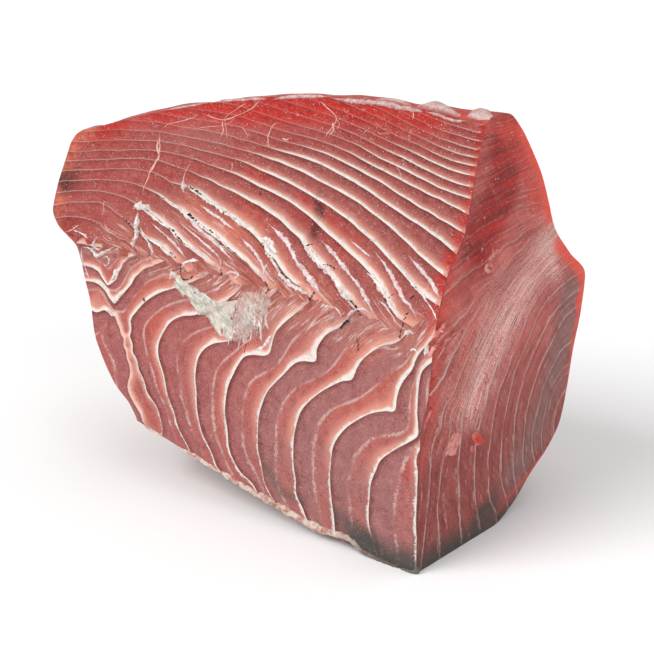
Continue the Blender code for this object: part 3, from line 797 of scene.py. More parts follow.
red = 0.95 * np.exp(-((under_top / 13.0) ** 2)) * smooth((-x_near - 8.0) / 30.0)
red += 0.27 * smooth((-x_near - 80.0) / 60.0) * smooth(-side / 20.0)
red += bands(place, [
    (0.9, [(180, 112), (230, 112), (300, 106), (345, 112)], 9.0),
    (0.65, [(484, 128), (472, 190), (456, 240), (447, 270)], 5.0),
    (0.8, [(446, 285), (438, 315), (434, 345)], 8.0),
    (0.5, [(420, 455), (408, 475)], 6.0),
    (0.45, [(300, 200), (330, 225), (350, 245)], 9.0),
    (0.4, [(240, 200), (270, 222)], 8.0),
    (0.5, [(250, 172), (270, 182)], 6.0),
])
grey = smooth((30.0 + 0.10 * x_near - z_near) / 30.0) * smooth((x_near + 84.0) / 50.0)
grey += bands(place, [
    (0.55, [(268, 470), (282, 492), (300, 500)], 6.0),
    (0.5, [(338, 515), (365, 535)], 9.0),
    (0.12, [(395, 160), (440, 200)], 20.0),
])
cloud = 0.30 * bump_at(place, (250, 320), 12.0) + 0.25 * bump_at(place, (205, 290), 14.0)
cloud += bands(place, [
    (0.28, [(140, 128), (165, 135), (185, 140), (215, 148)], 12.0),
    (0.25, [(185, 122), (230, 128), (290, 128), (340, 122)], 8.0),
    (0.45, [(325, 322), (365, 326), (395, 334)], 9.0),
    (0.35, [(262, 322), (285, 312)], 9.0),
])
orange = bands(place, [
    (0.75, [(60, 205), (66, 170), (74, 142), (92, 128)], 6.0),
    (0.5, [(240, 228), (280, 262), (320, 300)], 12.0),
    (0.5, [(190, 205), (230, 232)], 10.0),
    (0.55, [(360, 356), (378, 338), (396, 330)], 8.0),
    (0.3, [(350, 250), (400, 300)], 12.0),
])
dark = 0.07 * smooth((-x_near - 60.0) / 60.0) * smooth(-side / 20.0)
# The first band below is a painted shadow streak.
dark += bands(place, [
    (0.9, [(314, 234), (320, 215), (319, 198)], 4.0),
    (0.9, [(62, 178), (66, 186)], 6.0),
    (0.4, [(75, 172), (82, 190)], 5.0),
    (0.35, [(335, 118), (352, 126)], 5.0),
])
fray = np.clip(bands(place, [
    (1.0, [(110, 240), (170, 262), (240, 292), (300, 308), (360, 325), (418, 338)], 13.0),
    (0.7, [(185, 215), (235, 250), (290, 300)], 14.0),
]), 0.0, 1.0)
tints, more_tints = np.stack([red, grey, cloud], -1), np.stack([orange, dark, fray], -1)

# Arcs of the square cut: the blocks' cut edges, nested about the lateral corner, with a seam across them.
CUT_WALLS = {
    2: [(484, 134), (500, 130), (515, 125)],
    5: [(479, 159), (498, 150), (518, 142)],
    8: [(473, 188), (490, 178), (510, 166), (530, 156)],
    10: [(465, 213), (485, 197), (505, 187), (535, 175)],
    11: [(457, 229), (480, 212), (510, 196), (540, 186)],
    12: [(452.3, 250.8), (470, 236), (490, 222), (515, 208), (544, 200)],
    13: [(443, 274.6), (455, 266), (470, 254), (485, 243), (505, 231), (525, 219), (547, 207)],
    14: [(440, 298), (455, 283), (470, 270), (490, 255), (505, 243), (525, 230), (548, 216)],
    15: [(430, 355), (440, 338), (451, 327.7), (466, 311), (474, 297), (492, 280), (505, 265), (520, 250),
         (535, 236), (550, 222)],
    16: [(418, 416), (422, 408), (438, 383), (444.5, 371.7), (450, 357), (461.5, 335), (467.7, 323),
         (480, 304.6), (492, 286), (510, 267), (530, 247), (551, 228)],
    17: [(427, 511), (429, 490), (430, 465), (431, 448), (434, 437), (439.6, 429), (440.4, 420),
         (443, 408.5), (452.5, 392.5), (458, 376.5), (465, 360), (474, 341), (486, 315), (498, 291),
         (512, 273), (530, 256), (553, 234)],
    18: [(439, 545), (438, 530), (436.4, 506), (439, 480), (442, 460), (448, 435), (452, 412), (463, 384),
         (473, 360), (484, 335), (493, 318), (500, 304), (508, 292), (518, 277), (532, 262), (556, 240)],
    19: [(461, 538), (459, 519), (458, 498), (457, 480), (459, 442), (460, 420), (464.5, 400), (473, 378),
         (483, 355), (494, 332), (504, 312), (514, 298), (525, 281), (540, 264), (560, 246)],
    20: [(476.5, 514), (474, 500), (473, 482), (473, 466), (474, 445), (477, 426), (483.7, 403.7),
         (487, 386), (493, 368.5), (500, 349), (508, 330), (518, 309), (529, 291), (543, 272),
         (565, 253)],
    21: [(495, 512.7), (488.5, 498), (487, 474), (486, 461), (488.5, 442), (490, 426), (493, 407),
         (497, 391), (504.5, 371.7), (512.6, 349), (519, 335), (526, 315), (536, 298), (552, 278),
         (572, 262)],
    22: [(504.5, 495), (500.5, 482), (499.7, 466), (499.7, 445), (501, 426), (504, 410), (508, 391),
         (512.6, 371.7), (520.6, 352.4), (528.6, 333), (535, 317), (545, 301), (560, 286), (580, 272)],
    23: [(515.8, 487), (511.8, 466), (511.8, 442), (512.6, 423), (515, 405), (520.6, 383), (528.6, 360),
         (538, 339.6), (545, 325), (554, 311), (566, 299), (582, 288)],
    24: [(526, 472.6), (522, 463), (522, 442), (523.8, 419.7), (527, 400.5), (532.6, 383), (539.8, 362),
         (549.4, 344), (557, 328), (567, 314), (580, 304)],
    25: [(533.4, 458), (531, 442), (532.6, 423), (536.6, 410), (539, 398), (546, 378), (552.6, 363.7),
         (560, 350.8), (571, 341)],
    26: [(541, 445), (542, 420), (547.8, 394), (554, 381), (560.6, 370), (569, 364)],
}


def end_fields(yz):
    """Wall number and clearness, then two sets of tints, for (y, z) places on the square cut."""
    def traced(rows):
        return bands(yz, rows, cut_yz)

    number = spline_through(CUT_WALLS, cut_yz, yz)
    clearness = smooth((number - 13.5) / 2.0) * (1 - 0.6 * smooth((number - 24.0) / 2.0))
    red = traced([
        (0.75, [(452, 262), (446, 295), (438, 335), (432, 375), (428, 415)], 9.0),
        (0.9, [(510, 128), (518, 146), (527, 168), (533, 192), (536, 212)], 10.0),
        (0.55, [(424, 440), (420, 480)], 4.0),
        (0.5, [(485, 128), (476, 180), (462, 222)], 4.0),
        (0.5, [(470, 330), (462, 380), (455, 410)], 12.0),
        (0.4, [(500, 240), (475, 285)], 14.0),
        (0.8, [(488, 126), (505, 130)], 6.0),
    ])
    grey = traced([(1.0, [(572, 290), (562, 340), (548, 390), (532, 435), (515, 470)], 15.0)])
    cloud = traced([
        (0.80, [(551, 236), (535, 262), (520, 292), (503, 325), (486, 360), (470, 402)], 17.0),
        (0.45, [(545, 255), (556, 275)], 9.0),
        (0.25, [(455, 330), (447, 380), (442, 420)], 9.0),
        (0.25, [(500, 265), (480, 310), (470, 340)], 12.0),
    ])
    bright = traced([
        (1.0, [(522, 126), (531, 145), (540, 165), (546, 190), (550, 214)], 7.0),
        (0.9, [(558, 244), (574, 260), (586, 279), (580, 300)], 6.0),
        (0.75, [(581, 300), (573, 340), (569, 380), (565, 412), (556, 440), (540, 460)], 2.4),
        (0.55, [(540, 460), (505, 500), (490, 525), (474, 540), (440, 562)], 2.0),
    ])
    deep = traced([(1.0, [(506, 140), (504, 180), (490, 218), (478, 240)], 17.0)])
    low = smooth((27.0 - 0.02 * yz[..., 0] - yz[..., 1]) / 32.0)
    low += traced([(0.5, [(480, 512), (492, 500), (494, 490)], 6.0)])
    sets = ((number, clearness, 0 * number), (red, grey, cloud), (bright, deep, low))
    return [np.stack(fields, -1) for fields in sets]


# What each vertex carries. The tail end has the square cut's pattern, fitted to its smaller outline.
TAIL_PATTERN_SCALE, TAIL_PATTERN_DROP = (1.3, 1.2), (0.0, 12.0)
end_values = np.zeros((3, len(vertices), 3))
for column, index, patch in zip((0, -1), end_index, ends):
    spread = patch[..., 1:] if column == 0 else patch[..., 1:] * TAIL_PATTERN_SCALE - TAIL_PATTERN_DROP
    for values, fields in zip(end_values, end_fields(spread)):
        values[index] = fields
far_values = np.zeros((len(vertices), 3))
far_values[far_index] = np.stack([flank_number, lateral_line, 0 * flank_number], -1)
near_fields = [np.stack([upper, lower, side], -1), np.stack([pitch, thick, strength], -1),
               np.stack([glowing, muted, tattered], -1), tints, more_tints]
near_values = np.zeros((5, len(vertices), 3))
near_values[:, :near_count] = [fields.reshape(-1, 3) for fields in near_fields]
labels = ["walls", "wall_form", "wall_look", "tints", "more_tints", "arcs", "cut_tints", "more_cut_tints",
          "flank_walls"]
block = mesh_piece("loin_block", vertices, [[faces_near], faces_ends, faces_far],
                   [long_cut, square_cut, flank], zip(labels, [*near_values, *end_values, far_values]))
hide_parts("tuna_loin")


# Torn membranes: the walls' tough white sheets, left as ragged strips along the backbone's scar and below.
# They are wet connective tissue, still joined to the flesh, and lie on it with loose edges.
def on_skin(pixels):
    """Places and outward directions on the stepped long cut, read between the four vertices around each."""
    plain = on_near(np.asarray(pixels, float))
    t = np.clip(-plain[..., 0] / profile(TAIL_END, plain[..., 2]), 0.0, 1.0)
    keel, top = keel_height(t), rims(t, np.zeros_like(t))[..., 1]
    row = np.clip((plain[..., 2] - keel) / (top - keel), 0.0, 1.0) * (near.shape[0] - 1)
    column = t * (near.shape[1] - 1)
    i, j = np.minimum(row.astype(int), near.shape[0] - 2), np.minimum(column.astype(int), near.shape[1] - 2)
    u, v = (row - i)[..., None], (column - j)[..., None]
    return [(1 - u) * (1 - v) * grid[i, j] + u * (1 - v) * grid[i + 1, j] + (1 - u) * v * grid[i, j + 1]
            + u * v * grid[i + 1, j + 1] for grid in (near, near_faces_out)]


CUT_STANDS_OUT = 1.2               # the square cut's swelling, taken as even where shreds lie on it


def on_end(pixels):
    """Places and outward directions on the square cut."""
    flat = on_cut(np.asarray(pixels, float)) + (CUT_STANDS_OUT, 0.0, 0.0)
    return flat, np.broadcast_to((1.0, 0.0, 0.0), flat.shape)


TOP_ROWS, BELL = 30, 4.0           # rows that make up the top, and the square of the bell's width in pixels


def on_top(pixels):
    """Places and outward directions on the flank's top: the mean of its seen points, each weighted by a
    bell of its distance in the photograph."""
    spots, out = far[1:TOP_ROWS].reshape(-1, 3), far_faces_out[1:TOP_ROWS].reshape(-1, 3)
    from_eye = spots - EYE
    seen = np.einsum("ij,ij->i", out, from_eye) < 0
    spots, out, from_eye = spots[seen], out[seen], from_eye[seen]
    picture = np.stack([from_eye @ RIGHT, -from_eye @ UP], -1) * FOCAL / -(from_eye @ BACK)[:, None]
    picture += PHOTO_MIDDLE
    wanted = np.reshape(np.asarray(pixels, float), (-1, 1, 2))
    square = ((wanted - picture) ** 2).sum(-1)
    weight = np.exp((square.min(1, keepdims=True) - square) / BELL)
    weight /= weight.sum(1, keepdims=True)
    return [(weight @ values).reshape(*np.shape(pixels)[:-1], 3) for values in (spots, out)]


def outward(points, parts):
    """Faces turned outward: the sum of their cones' volumes from the origin is made positive."""
    volume = 0.0
    for part in parts:
        for k in range(1, part.shape[1] - 1):
            a, b, c = points[part[:, 0]], points[part[:, k]], points[part[:, k + 1]]
            volume += np.einsum("ij,ij->", a, np.cross(b, c))
    return parts if volume > 0 else [part[:, ::-1] for part in parts]


def strip(pixels, width, lift, seed, onto=on_skin, torn=0.6, sink=0.6, across=9, spacing=0.6, ends=0.25):
    """Strip along a traced line. At s along and v across, it is `width` wide and lifted by 1 - v^2, both
    roughened; its ends narrow to nothing, its edges sink into the flesh and it is closed underneath."""
    rough = np.arange(len(pixels), dtype=float)
    coarse, _ = onto(along(pixels, np.linspace(0, rough[-1], 40)))
    reach = np.linalg.norm(np.diff(coarse, axis=0), axis=1).sum()
    count = max(8, int(reach / spacing))
    s = np.linspace(0, 1, count)
    middle, out = onto(along(pixels, s * rough[-1]))
    for _ in range(3):
        out = np.concatenate([out[:1], 0.25 * out[:-2] + 0.5 * out[1:-1] + 0.25 * out[2:], out[-1:]])
    heading = np.gradient(middle, axis=0)
    sideways = np.cross(out, heading)
    sideways /= np.maximum(np.linalg.norm(sideways, axis=1, keepdims=True), 1e-9)
    full = smooth(s / ends) * smooth((1 - s) / ends) * 0.92 + 0.08
    v = np.linspace(-1, 1, across)[None, :, None]
    wide = np.stack([1 + 0.45 * torn * rumple(middle, 12.0, seed + hand)
                     + 0.5 * torn * rumple(middle, 2.4, seed + 5 + hand) for hand in (0, 1)], -1)
    wide = np.clip(wide, 0.25, 1.9) * (width * full)[:, None] / 2
    spread = np.where(v[..., 0] < 0, wide[:, :1], wide[:, 1:])[..., None]
    flat = middle[:, None] + sideways[:, None] * v * spread
    bumps = 1 + 0.7 * torn * rumple(flat, 2.6, seed + 2)[..., None]
    height = (lift * full)[:, None, None] * np.clip(bumps, 0.1, 2.2) * (1 - v ** 2) - sink * v ** 4
    top = flat + out[:, None] * height
    bottom = flat[:, 1:-1][:, ::-1] - out[:, None] * (sink + 0.5)
    loop = np.concatenate([top, bottom], 1)
    index = np.arange(loop[..., 0].size).reshape(loop.shape[:2])
    parts = [cells(np.concatenate([index, index[:, :1]], 1)), index[:1], index[-1:, ::-1]]
    points = loop.reshape(-1, 3)
    rim = np.concatenate([np.abs(v[0, :, 0]), np.ones(across - 2)])
    lie = np.stack(np.broadcast_arrays(rim, np.zeros(index.shape), np.zeros(index.shape)), -1)
    return points, outward(points, parts), lie.reshape(-1, 3)


def strips(rows, first_seed, **ways):
    """A strip for each traced line with its width and lift, each with a seed of its own."""
    return [strip(line, width, lift, first_seed + 7 * k, **ways)
            for k, (line, width, lift) in enumerate(rows)]


def gathered(name, bodies, material):
    """One piece of several closed bodies: their points in a row, their faces renumbered."""
    starts = np.cumsum([0] + [len(points) for points, _, _ in bodies[:-1]])
    faces = [part + start for start, (_, parts, _) in zip(starts, bodies) for part in parts]
    return mesh_piece(name, np.concatenate([points for points, _, _ in bodies]), [faces], [material],
                      [("lie", np.concatenate([lie for _, _, lie in bodies]))])


membrane, shader = new_material("torn_membrane")
rim_of, _, _ = carried("lie")
fine, middling = grain(1100.0, 3.0), grain(300.0, 4.0, 0.65)
tone = middling.rise(0.3, 0.7).mix((0.60, 0.42, 0.42), (0.78, 0.71, 0.72))
tone = (rim_of + (fine - 0.5) * 0.9).rise(0.5, 1.0).mix(tone, (0.50, 0.180, 0.155))
tone = flecks(500.0, 0.22, 0.4).mix(tone, (0.88, 0.84, 0.82))
finish_material(shader, tone, 0.36 + 0.2 * middling, fine * 0.6 + middling * 0.6, 0.0012)

MEMBRANES = [
    ([(268, 223), (276, 231), (283, 238), (290, 247), (296, 259), (303, 270), (312, 283), (319, 294),
      (330, 304)], 3.0, 0.7),
    ([(300, 262), (304, 270), (309, 278), (314, 284)], 3.4, 0.9),
    ([(321, 240), (328, 248), (337, 258), (345, 268), (353, 278), (362, 292), (368, 305),
      (374, 318)], 2.3, 0.8),
    ([(326, 244), (332, 252), (337, 258)], 2.6, 0.8),
    ([(374, 251), (385, 265), (392, 275), (398, 287), (404, 298), (410, 306), (417, 318)], 2.4, 0.8),
    ([(408, 255), (418, 267), (428, 278), (436, 290), (440, 298)], 2.2, 0.7),
    ([(350, 240), (362, 250), (372, 258)], 1.2, 0.4),
    ([(200, 205), (207, 210), (213, 214), (221, 219), (228, 225), (236, 231)], 2.2, 0.6),
    ([(240, 236), (247, 244), (254, 252), (260, 262), (264, 272), (267, 284)], 2.0, 0.7),
    ([(178, 206), (186, 215), (193, 221), (200, 229), (208, 236), (216, 243), (224, 252),
      (232, 262)], 2.4, 0.8),
    ([(150, 222), (158, 229), (166, 236), (174, 244), (180, 252), (184, 258)], 1.8, 0.6),
    ([(186, 228), (195, 235), (204, 243), (212, 250), (218, 258), (222, 268)], 1.6, 0.6),
    ([(180, 243), (188, 247), (196, 251), (205, 256), (212, 262)], 1.5, 0.5),
    ([(318, 312), (325, 306), (333, 309), (340, 318)], 1.3, 0.4),
    ([(268, 262), (264, 268), (267, 276), (274, 283)], 1.6, 0.6),
    ([(345, 318), (352, 311), (362, 309), (370, 314)], 1.4, 0.5),
    ([(378, 300), (386, 306), (392, 316), (396, 326)], 1.2, 0.4),
]
gathered("torn_membranes", strips(MEMBRANES, 30), membrane)


# White wall remnants: thicker, tougher strips of the same tissue where the backbone was cut away, some
# curled up from the flesh, and the big pale pad in the middle of the scar.
def pad(corner_pixels, height, veil, seed, onto=on_skin, wave=7.0, count=64):
    """Low pad over a traced outline. Rays from its middle cross the outline; it is highest inside, rumpled,
    and dips under the skin towards the outline, where it is closed underneath. `veil` is how thin it is."""
    corners = np.array(corner_pixels, float)
    closed = np.concatenate([corners, corners[:1]])
    rim_line = along(closed, np.linspace(0, len(corners), count * 2 + 1)[:-1])
    share = np.linspace(0.03, 1, count // 2)[:, None, None]
    middle = corners.mean(0)
    base, out = onto(middle + (rim_line - middle) * share)
    lumps = rumple(base, wave, seed) * 0.35 + rumple(base, wave / 3, seed + 1) * 0.12
    top = base + out * (height * (1 - share[..., 0] ** 3 * 1.5 + lumps))[..., None]
    under = base[::-1] - out[::-1] * (height * 1.2 + 1.0)
    grid = np.concatenate([top, under])
    index = np.arange(grid[..., 0].size).reshape(grid.shape[:2])
    parts = [cells(np.concatenate([index, index[:, :1]], 1)), index[:1, ::-1], index[-1:]]
    points = grid.reshape(-1, 3)
    rim = np.concatenate([share[:, 0, 0], share[::-1, 0, 0]])
    lie = np.stack(np.broadcast_arrays(rim[:, None], np.ones(index.shape), np.full(index.shape, veil)), -1)
    return points, outward(points, parts), lie.reshape(-1, 3)


tissue, shader = new_material("white_tissue")
rim_of, is_pad, veil = carried("lie")
fine, middling, broad = grain(1100.0, 3.0), grain(280.0, 5.0, 0.7), grain(70.0, 4.0)
strands = grain(520.0, 3.0, 0.6, ((5.0, 1.0, 0.7), (0.0, math.radians(40.0), 0.0)))
tone = strands.rise(0.32, 0.62).mix(is_pad.mix((0.52, 0.42, 0.40), (0.33, 0.305, 0.25)),
                                    is_pad.mix((0.80, 0.75, 0.72), (0.62, 0.59, 0.52)))
tone = broad.rise(0.50, 0.70).mix(tone, (0.56, 0.46, 0.39))
see_through = veil * (0.95 - strands - 0.6 * middling + 0.7 * rim_of).rise(0.0, 0.7)
tone = see_through.mix(tone, (0.44, 0.160, 0.135))
tone = (veil * broad.rise(0.45, 0.65) * 0.6).mix(tone, (0.28, 0.30, 0.30))
tone = (rim_of + (middling - 0.5) * 1.1).rise(0.85, 1.15).mix(tone, (0.62, 0.25, 0.21))
tone = (flecks(230.0, 0.23, 0.2) * 0.85).mix(tone, (0.04, 0.035, 0.03))
finish_material(shader, tone, 0.42 + 0.2 * middling, strands * 0.8 + fine * 0.4 + middling * 0.3, 0.0008)

TISSUE_STRIPS = [
    ([(300, 240), (308, 248), (315, 256), (325, 268), (333, 278), (342, 292), (350, 303),
      (357, 313)], 3.0, 1.1),
    ([(365, 270), (375, 280), (382, 290), (390, 303), (398, 318)], 2.6, 1.0),
    ([(395, 262), (408, 275), (417, 288), (425, 296), (428, 299)], 1.9, 0.8),
    ([(421, 292), (428, 303), (434, 313), (437, 321)], 1.3, 0.6),
    ([(262, 240), (268, 250), (273, 262), (281, 275), (290, 285), (302, 292), (310, 298)], 3.4, 1.1),
    ([(262, 238), (268, 243), (274, 250), (274, 258)], 5.0, 1.0),
    ([(184, 186), (192, 191), (205, 199), (215, 206), (228, 214), (243, 226), (252, 231),
      (262, 238)], 1.9, 0.7),
    ([(160, 198), (172, 204), (180, 209), (190, 217), (200, 225), (210, 232), (220, 239), (228, 248),
      (240, 258)], 2.2, 0.8),
    ([(141, 208), (150, 213), (160, 222), (170, 229), (178, 238), (184, 244)], 1.8, 0.7),
    ([(133, 209), (139, 206), (146, 207), (152, 211)], 4.2, 1.5),
    ([(138, 211), (138, 222), (135, 235), (132, 243), (130, 248)], 2.7, 1.8),
    ([(183, 181), (184, 187), (183, 192)], 2.6, 0.9),
    ([(140, 226), (144, 236), (148, 246), (152, 253)], 1.2, 0.8),
    ([(142, 233), (152, 241), (160, 247), (168, 254), (173, 258)], 1.7, 0.8),
    ([(145, 238), (150, 248), (150, 256)], 0.8, 0.6),
    ([(90, 245), (92, 251), (96, 256), (103, 252), (112, 246)], 2.4, 1.6),
    ([(97, 236), (92, 243), (96, 250), (101, 246)], 1.1, 1.0),
    ([(80, 247.5), (86, 248), (92, 253)], 0.9, 0.5),
    ([(101, 259), (105, 257), (108, 262), (105, 266), (102, 263)], 1.2, 0.8),
    ([(65, 232), (72, 229), (78, 225)], 1.5, 0.6),
    ([(72, 230), (80, 233), (87, 239)], 1.6, 0.5),
    ([(109, 283), (112, 280), (115, 274), (119, 269), (121, 266)], 3.0, 0.9),
    ([(120, 266), (124, 260), (130, 256), (138, 253)], 1.0, 0.5),
    ([(80, 247), (81.5, 256), (84, 265), (87, 273), (90, 280)], 0.8, 0.5),
    ([(107, 311), (110, 312.5), (113, 315.5), (114.5, 312)], 1.5, 0.5),
    ([(114, 303), (118, 300), (121, 296), (126, 290)], 1.5, 0.5),
    ([(178, 268), (186, 262), (197, 260)], 1.9, 0.6),
    ([(220, 276), (230, 272), (238, 275), (230, 279)], 1.6, 0.6),
    ([(255, 350), (262, 348), (268, 341), (273, 334)], 2.8, 0.7),
    ([(425, 357), (427, 349), (429, 343)], 2.4, 1.0),
    ([(404, 336), (409, 331), (414, 334)], 2.6, 0.6),
    ([(410, 352), (414, 349), (419, 353)], 1.1, 0.5),
]
PADS = [
    ([(165, 272), (176, 270), (186, 281), (199, 291), (213, 299), (226, 303), (238, 300), (240, 312),
      (239, 330), (233, 344), (222, 338), (211, 326), (197, 313), (184, 300), (172, 285)], 1.5, 0.0),
    ([(232, 298), (244, 290), (256, 288), (268, 293), (271, 303), (266, 316), (259, 330), (250, 341),
      (240, 346), (232, 338), (234, 318)], 0.7, 0.6),
]
FAN = [
    ((238, 296), (232, 346)), ((242, 293), (240, 338)), ((246, 291), (243, 348)),
    ((250, 290), (247, 336)), ((254, 289), (250, 344)), ((258, 290), (255, 334)),
    ((262, 291), (256, 340)), ((266, 294), (262, 326)), ((240, 318), (228, 346)),
    ((248, 322), (238, 352)), ((258, 318), (262, 342)), ((266, 312), (270, 330)),
    ((226, 300), (236, 330)), ((214, 300), (228, 322)), ((200, 292), (216, 308)),
    ((188, 284), (202, 300)),
]
FAN_STRANDS = [([high, np.add(high, low) / 2 + (1.5 * (-1) ** k, 0), low], 0.7 + k % 3 * 0.4, 1.0)
               for k, (high, low) in enumerate(FAN)]
gathered("white_remnants",
         strips(TISSUE_STRIPS, 300)
         + [pad(line, height, thin, 500 + 9 * k) for k, (line, height, thin) in enumerate(PADS)]
         + strips(FAN_STRANDS, 600, torn=0.8), tissue)


# Dark vessels: dried blood left in the small vessels along the scar, as broken black threads and beads.
# They are pressed into the membranes.
def beads(pixels, radius, seed, fill):
    """Broken thread along a traced line: strips of seeded lengths, its gaps shorter as `fill` nears 1."""
    rng = np.random.default_rng(seed)
    bodies, start, last = [], 0.0, len(pixels) - 1
    while start < last:
        end = min(last, start + rng.uniform(0.10, 0.65))
        line = along(pixels, np.linspace(start, end, 5)) + rng.normal(0, 0.35, (5, 2))
        width, lift = radius * rng.uniform(1.2, 2.4), radius * rng.uniform(0.7, 1.3)
        bodies.append(strip(line, width, lift, int(seed + 10 * start), torn=0.5, sink=0.3, across=7,
                            spacing=0.35, ends=0.3))
        start = end + rng.uniform(0.05, 0.5) * (1 - fill) / 0.4
    return bodies


soot, shader = new_material("dried_vessel")
fine = grain(1200.0, 3.0)
tone = fine.rise(0.3, 0.75).mix((0.012, 0.011, 0.010), (0.075, 0.062, 0.050))
finish_material(shader, tone, 0.45 + 0.2 * fine, fine, 0.0006)

VESSELS = [
    ([(188, 186), (195, 190), (200, 194), (206, 199), (212, 205), (219, 210), (226, 213), (234, 219),
      (243, 225)], 0.55, 0.8),
    ([(174, 205), (180, 209), (187, 214), (192, 218), (198, 222)], 0.5, 0.8),
    ([(190, 215), (195, 219), (198, 222)], 0.9, 1.0),
    ([(200, 223), (207, 229), (214, 233), (220, 239), (219, 243), (226, 246), (233, 252),
      (240, 257)], 0.5, 0.45),
    ([(148, 191), (154, 194), (160, 197), (166, 200)], 0.35, 0.4),
    ([(124, 218), (128, 222), (131, 225), (134, 229)], 0.4, 0.6),
    ([(149, 211), (152, 215), (155, 217)], 0.5, 0.7),
    ([(169, 228), (174, 232), (178, 237), (182, 241)], 0.55, 0.6),
    ([(139, 228), (142, 232), (146, 239), (152, 243)], 0.4, 0.7),
    ([(160, 247), (164, 250), (171, 254), (174, 258)], 0.4, 0.5),
    ([(144, 256), (148, 255), (146, 252)], 0.4, 0.7),
    ([(179, 264), (178, 272), (182, 279), (186, 280), (192, 276)], 0.55, 0.9),
    ([(222, 264), (220, 270), (219, 275)], 0.45, 0.9),
    ([(264, 243), (267, 250), (272, 258), (274, 263), (281, 272), (285, 277)], 0.6, 0.45),
    ([(265, 282), (266, 288), (265, 295)], 0.6, 0.8),
    ([(300, 241), (303, 244), (308, 246), (313, 245)], 0.5, 0.9),
    ([(323, 265), (328, 265), (333, 267), (336, 269)], 0.45, 0.9),
    ([(375, 279), (378, 284), (379, 289)], 0.45, 0.9),
    ([(366, 272), (372, 276), (376, 280)], 0.4, 0.5),
    ([(347, 300), (352, 303), (356, 309), (357, 315)], 0.6, 0.8),
    ([(314, 292), (310, 297), (308, 301)], 0.6, 0.9),
    ([(346, 320), (342, 325), (341, 328)], 0.7, 1.0),
    ([(385, 300), (389, 298), (394, 294)], 0.35, 0.9),
    ([(410, 299), (414, 296)], 0.5, 1.0),
    ([(408, 312), (405, 319), (401, 330), (400, 338)], 0.5, 0.9),
    ([(356, 337), (358, 344), (359, 350)], 0.4, 0.9),
    ([(238, 296), (243, 299), (248, 299)], 0.4, 0.7),
    ([(245, 323), (247, 328), (246, 355)], 0.3, 0.3),
    ([(144, 298), (146, 301)], 0.6, 1.0),
    ([(67, 217), (68, 220)], 0.4, 1.0),
    ([(259, 192), (261, 195)], 0.4, 0.9),
]
gathered("dark_vessels", [body for k, (line, radius, fill) in enumerate(VESSELS)
                          for body in beads(line, radius, 900 + 11 * k, fill)], soot)


# Loose fibres: fine pink threads of tissue drawn over the upper blocks by the knife, wet and stuck down.
fibre, shader = new_material("loose_fibre")
fine = grain(1200.0, 3.0)
tone = fine.rise(0.3, 0.7).mix((0.60, 0.28, 0.24), (0.76, 0.54, 0.48))
finish_material(shader, tone, 0.4 + 0.2 * fine, fine, 0.0005)
FIBRE_THINNING = 0.8               # how wide the threads are made, as a share of the widths traced below
FIBRES = [
    ([(159, 132), (160, 145), (158, 158), (153, 166), (148, 180), (141, 199)], 1.1, 0.4),
    ([(160, 138), (157, 147), (159, 155), (154, 166), (151, 174)], 1.7, 0.5),
    ([(232, 162), (232, 167), (231, 171)], 0.8, 0.4),
    ([(190, 163), (187, 170), (184, 178), (184, 186)], 0.9, 0.5),
    ([(278, 121.5), (272, 127), (268, 137), (268, 144), (270, 147)], 0.9, 0.5),
    ([(262, 98), (256, 104), (248, 111), (238, 116), (228, 119), (222, 120), (212, 117),
      (201, 113)], 0.9, 0.5),
    ([(201, 113), (192, 118), (182, 121), (170, 124), (160, 130)], 0.7, 0.4),
    ([(236, 117), (228, 124), (218, 126), (205, 127), (190, 131)], 0.5, 0.3),
    ([(222, 120), (230, 114), (240, 108), (246, 102)], 0.6, 0.3),
    ([(320, 100), (325, 106), (333, 113), (337, 119), (333, 127), (328, 133), (325, 138)], 0.9, 0.4),
    ([(337, 119), (340, 124), (338, 130)], 0.7, 0.4),
    ([(333, 122), (334, 129), (329, 136)], 1.3, 0.4),
    ([(222, 120), (223, 131), (221, 137)], 0.9, 0.3),
    ([(225, 121), (226, 130), (228, 139)], 0.6, 0.3),
    ([(282, 138), (287, 140), (289, 138)], 1.2, 0.4),
    ([(413, 110), (414, 116), (413, 120)], 0.8, 0.4),
    ([(391, 161), (397, 166), (401, 174), (403, 182)], 0.6, 0.3),
    ([(377, 131), (381, 134), (386, 133), (392, 134)], 0.6, 0.3),
    ([(368, 130), (363, 134)], 0.5, 0.3),
    ([(105, 200), (104, 208), (102, 216)], 0.6, 0.3),
    ([(243, 127), (246, 132), (248, 137)], 0.6, 0.3),
]
thinned = [(line, width * FIBRE_THINNING, lift) for line, width, lift in FIBRES]
gathered("loose_fibres",
         strips(thinned, 700, torn=0.35, sink=0.3, across=7, spacing=0.45, ends=0.15), fibre)


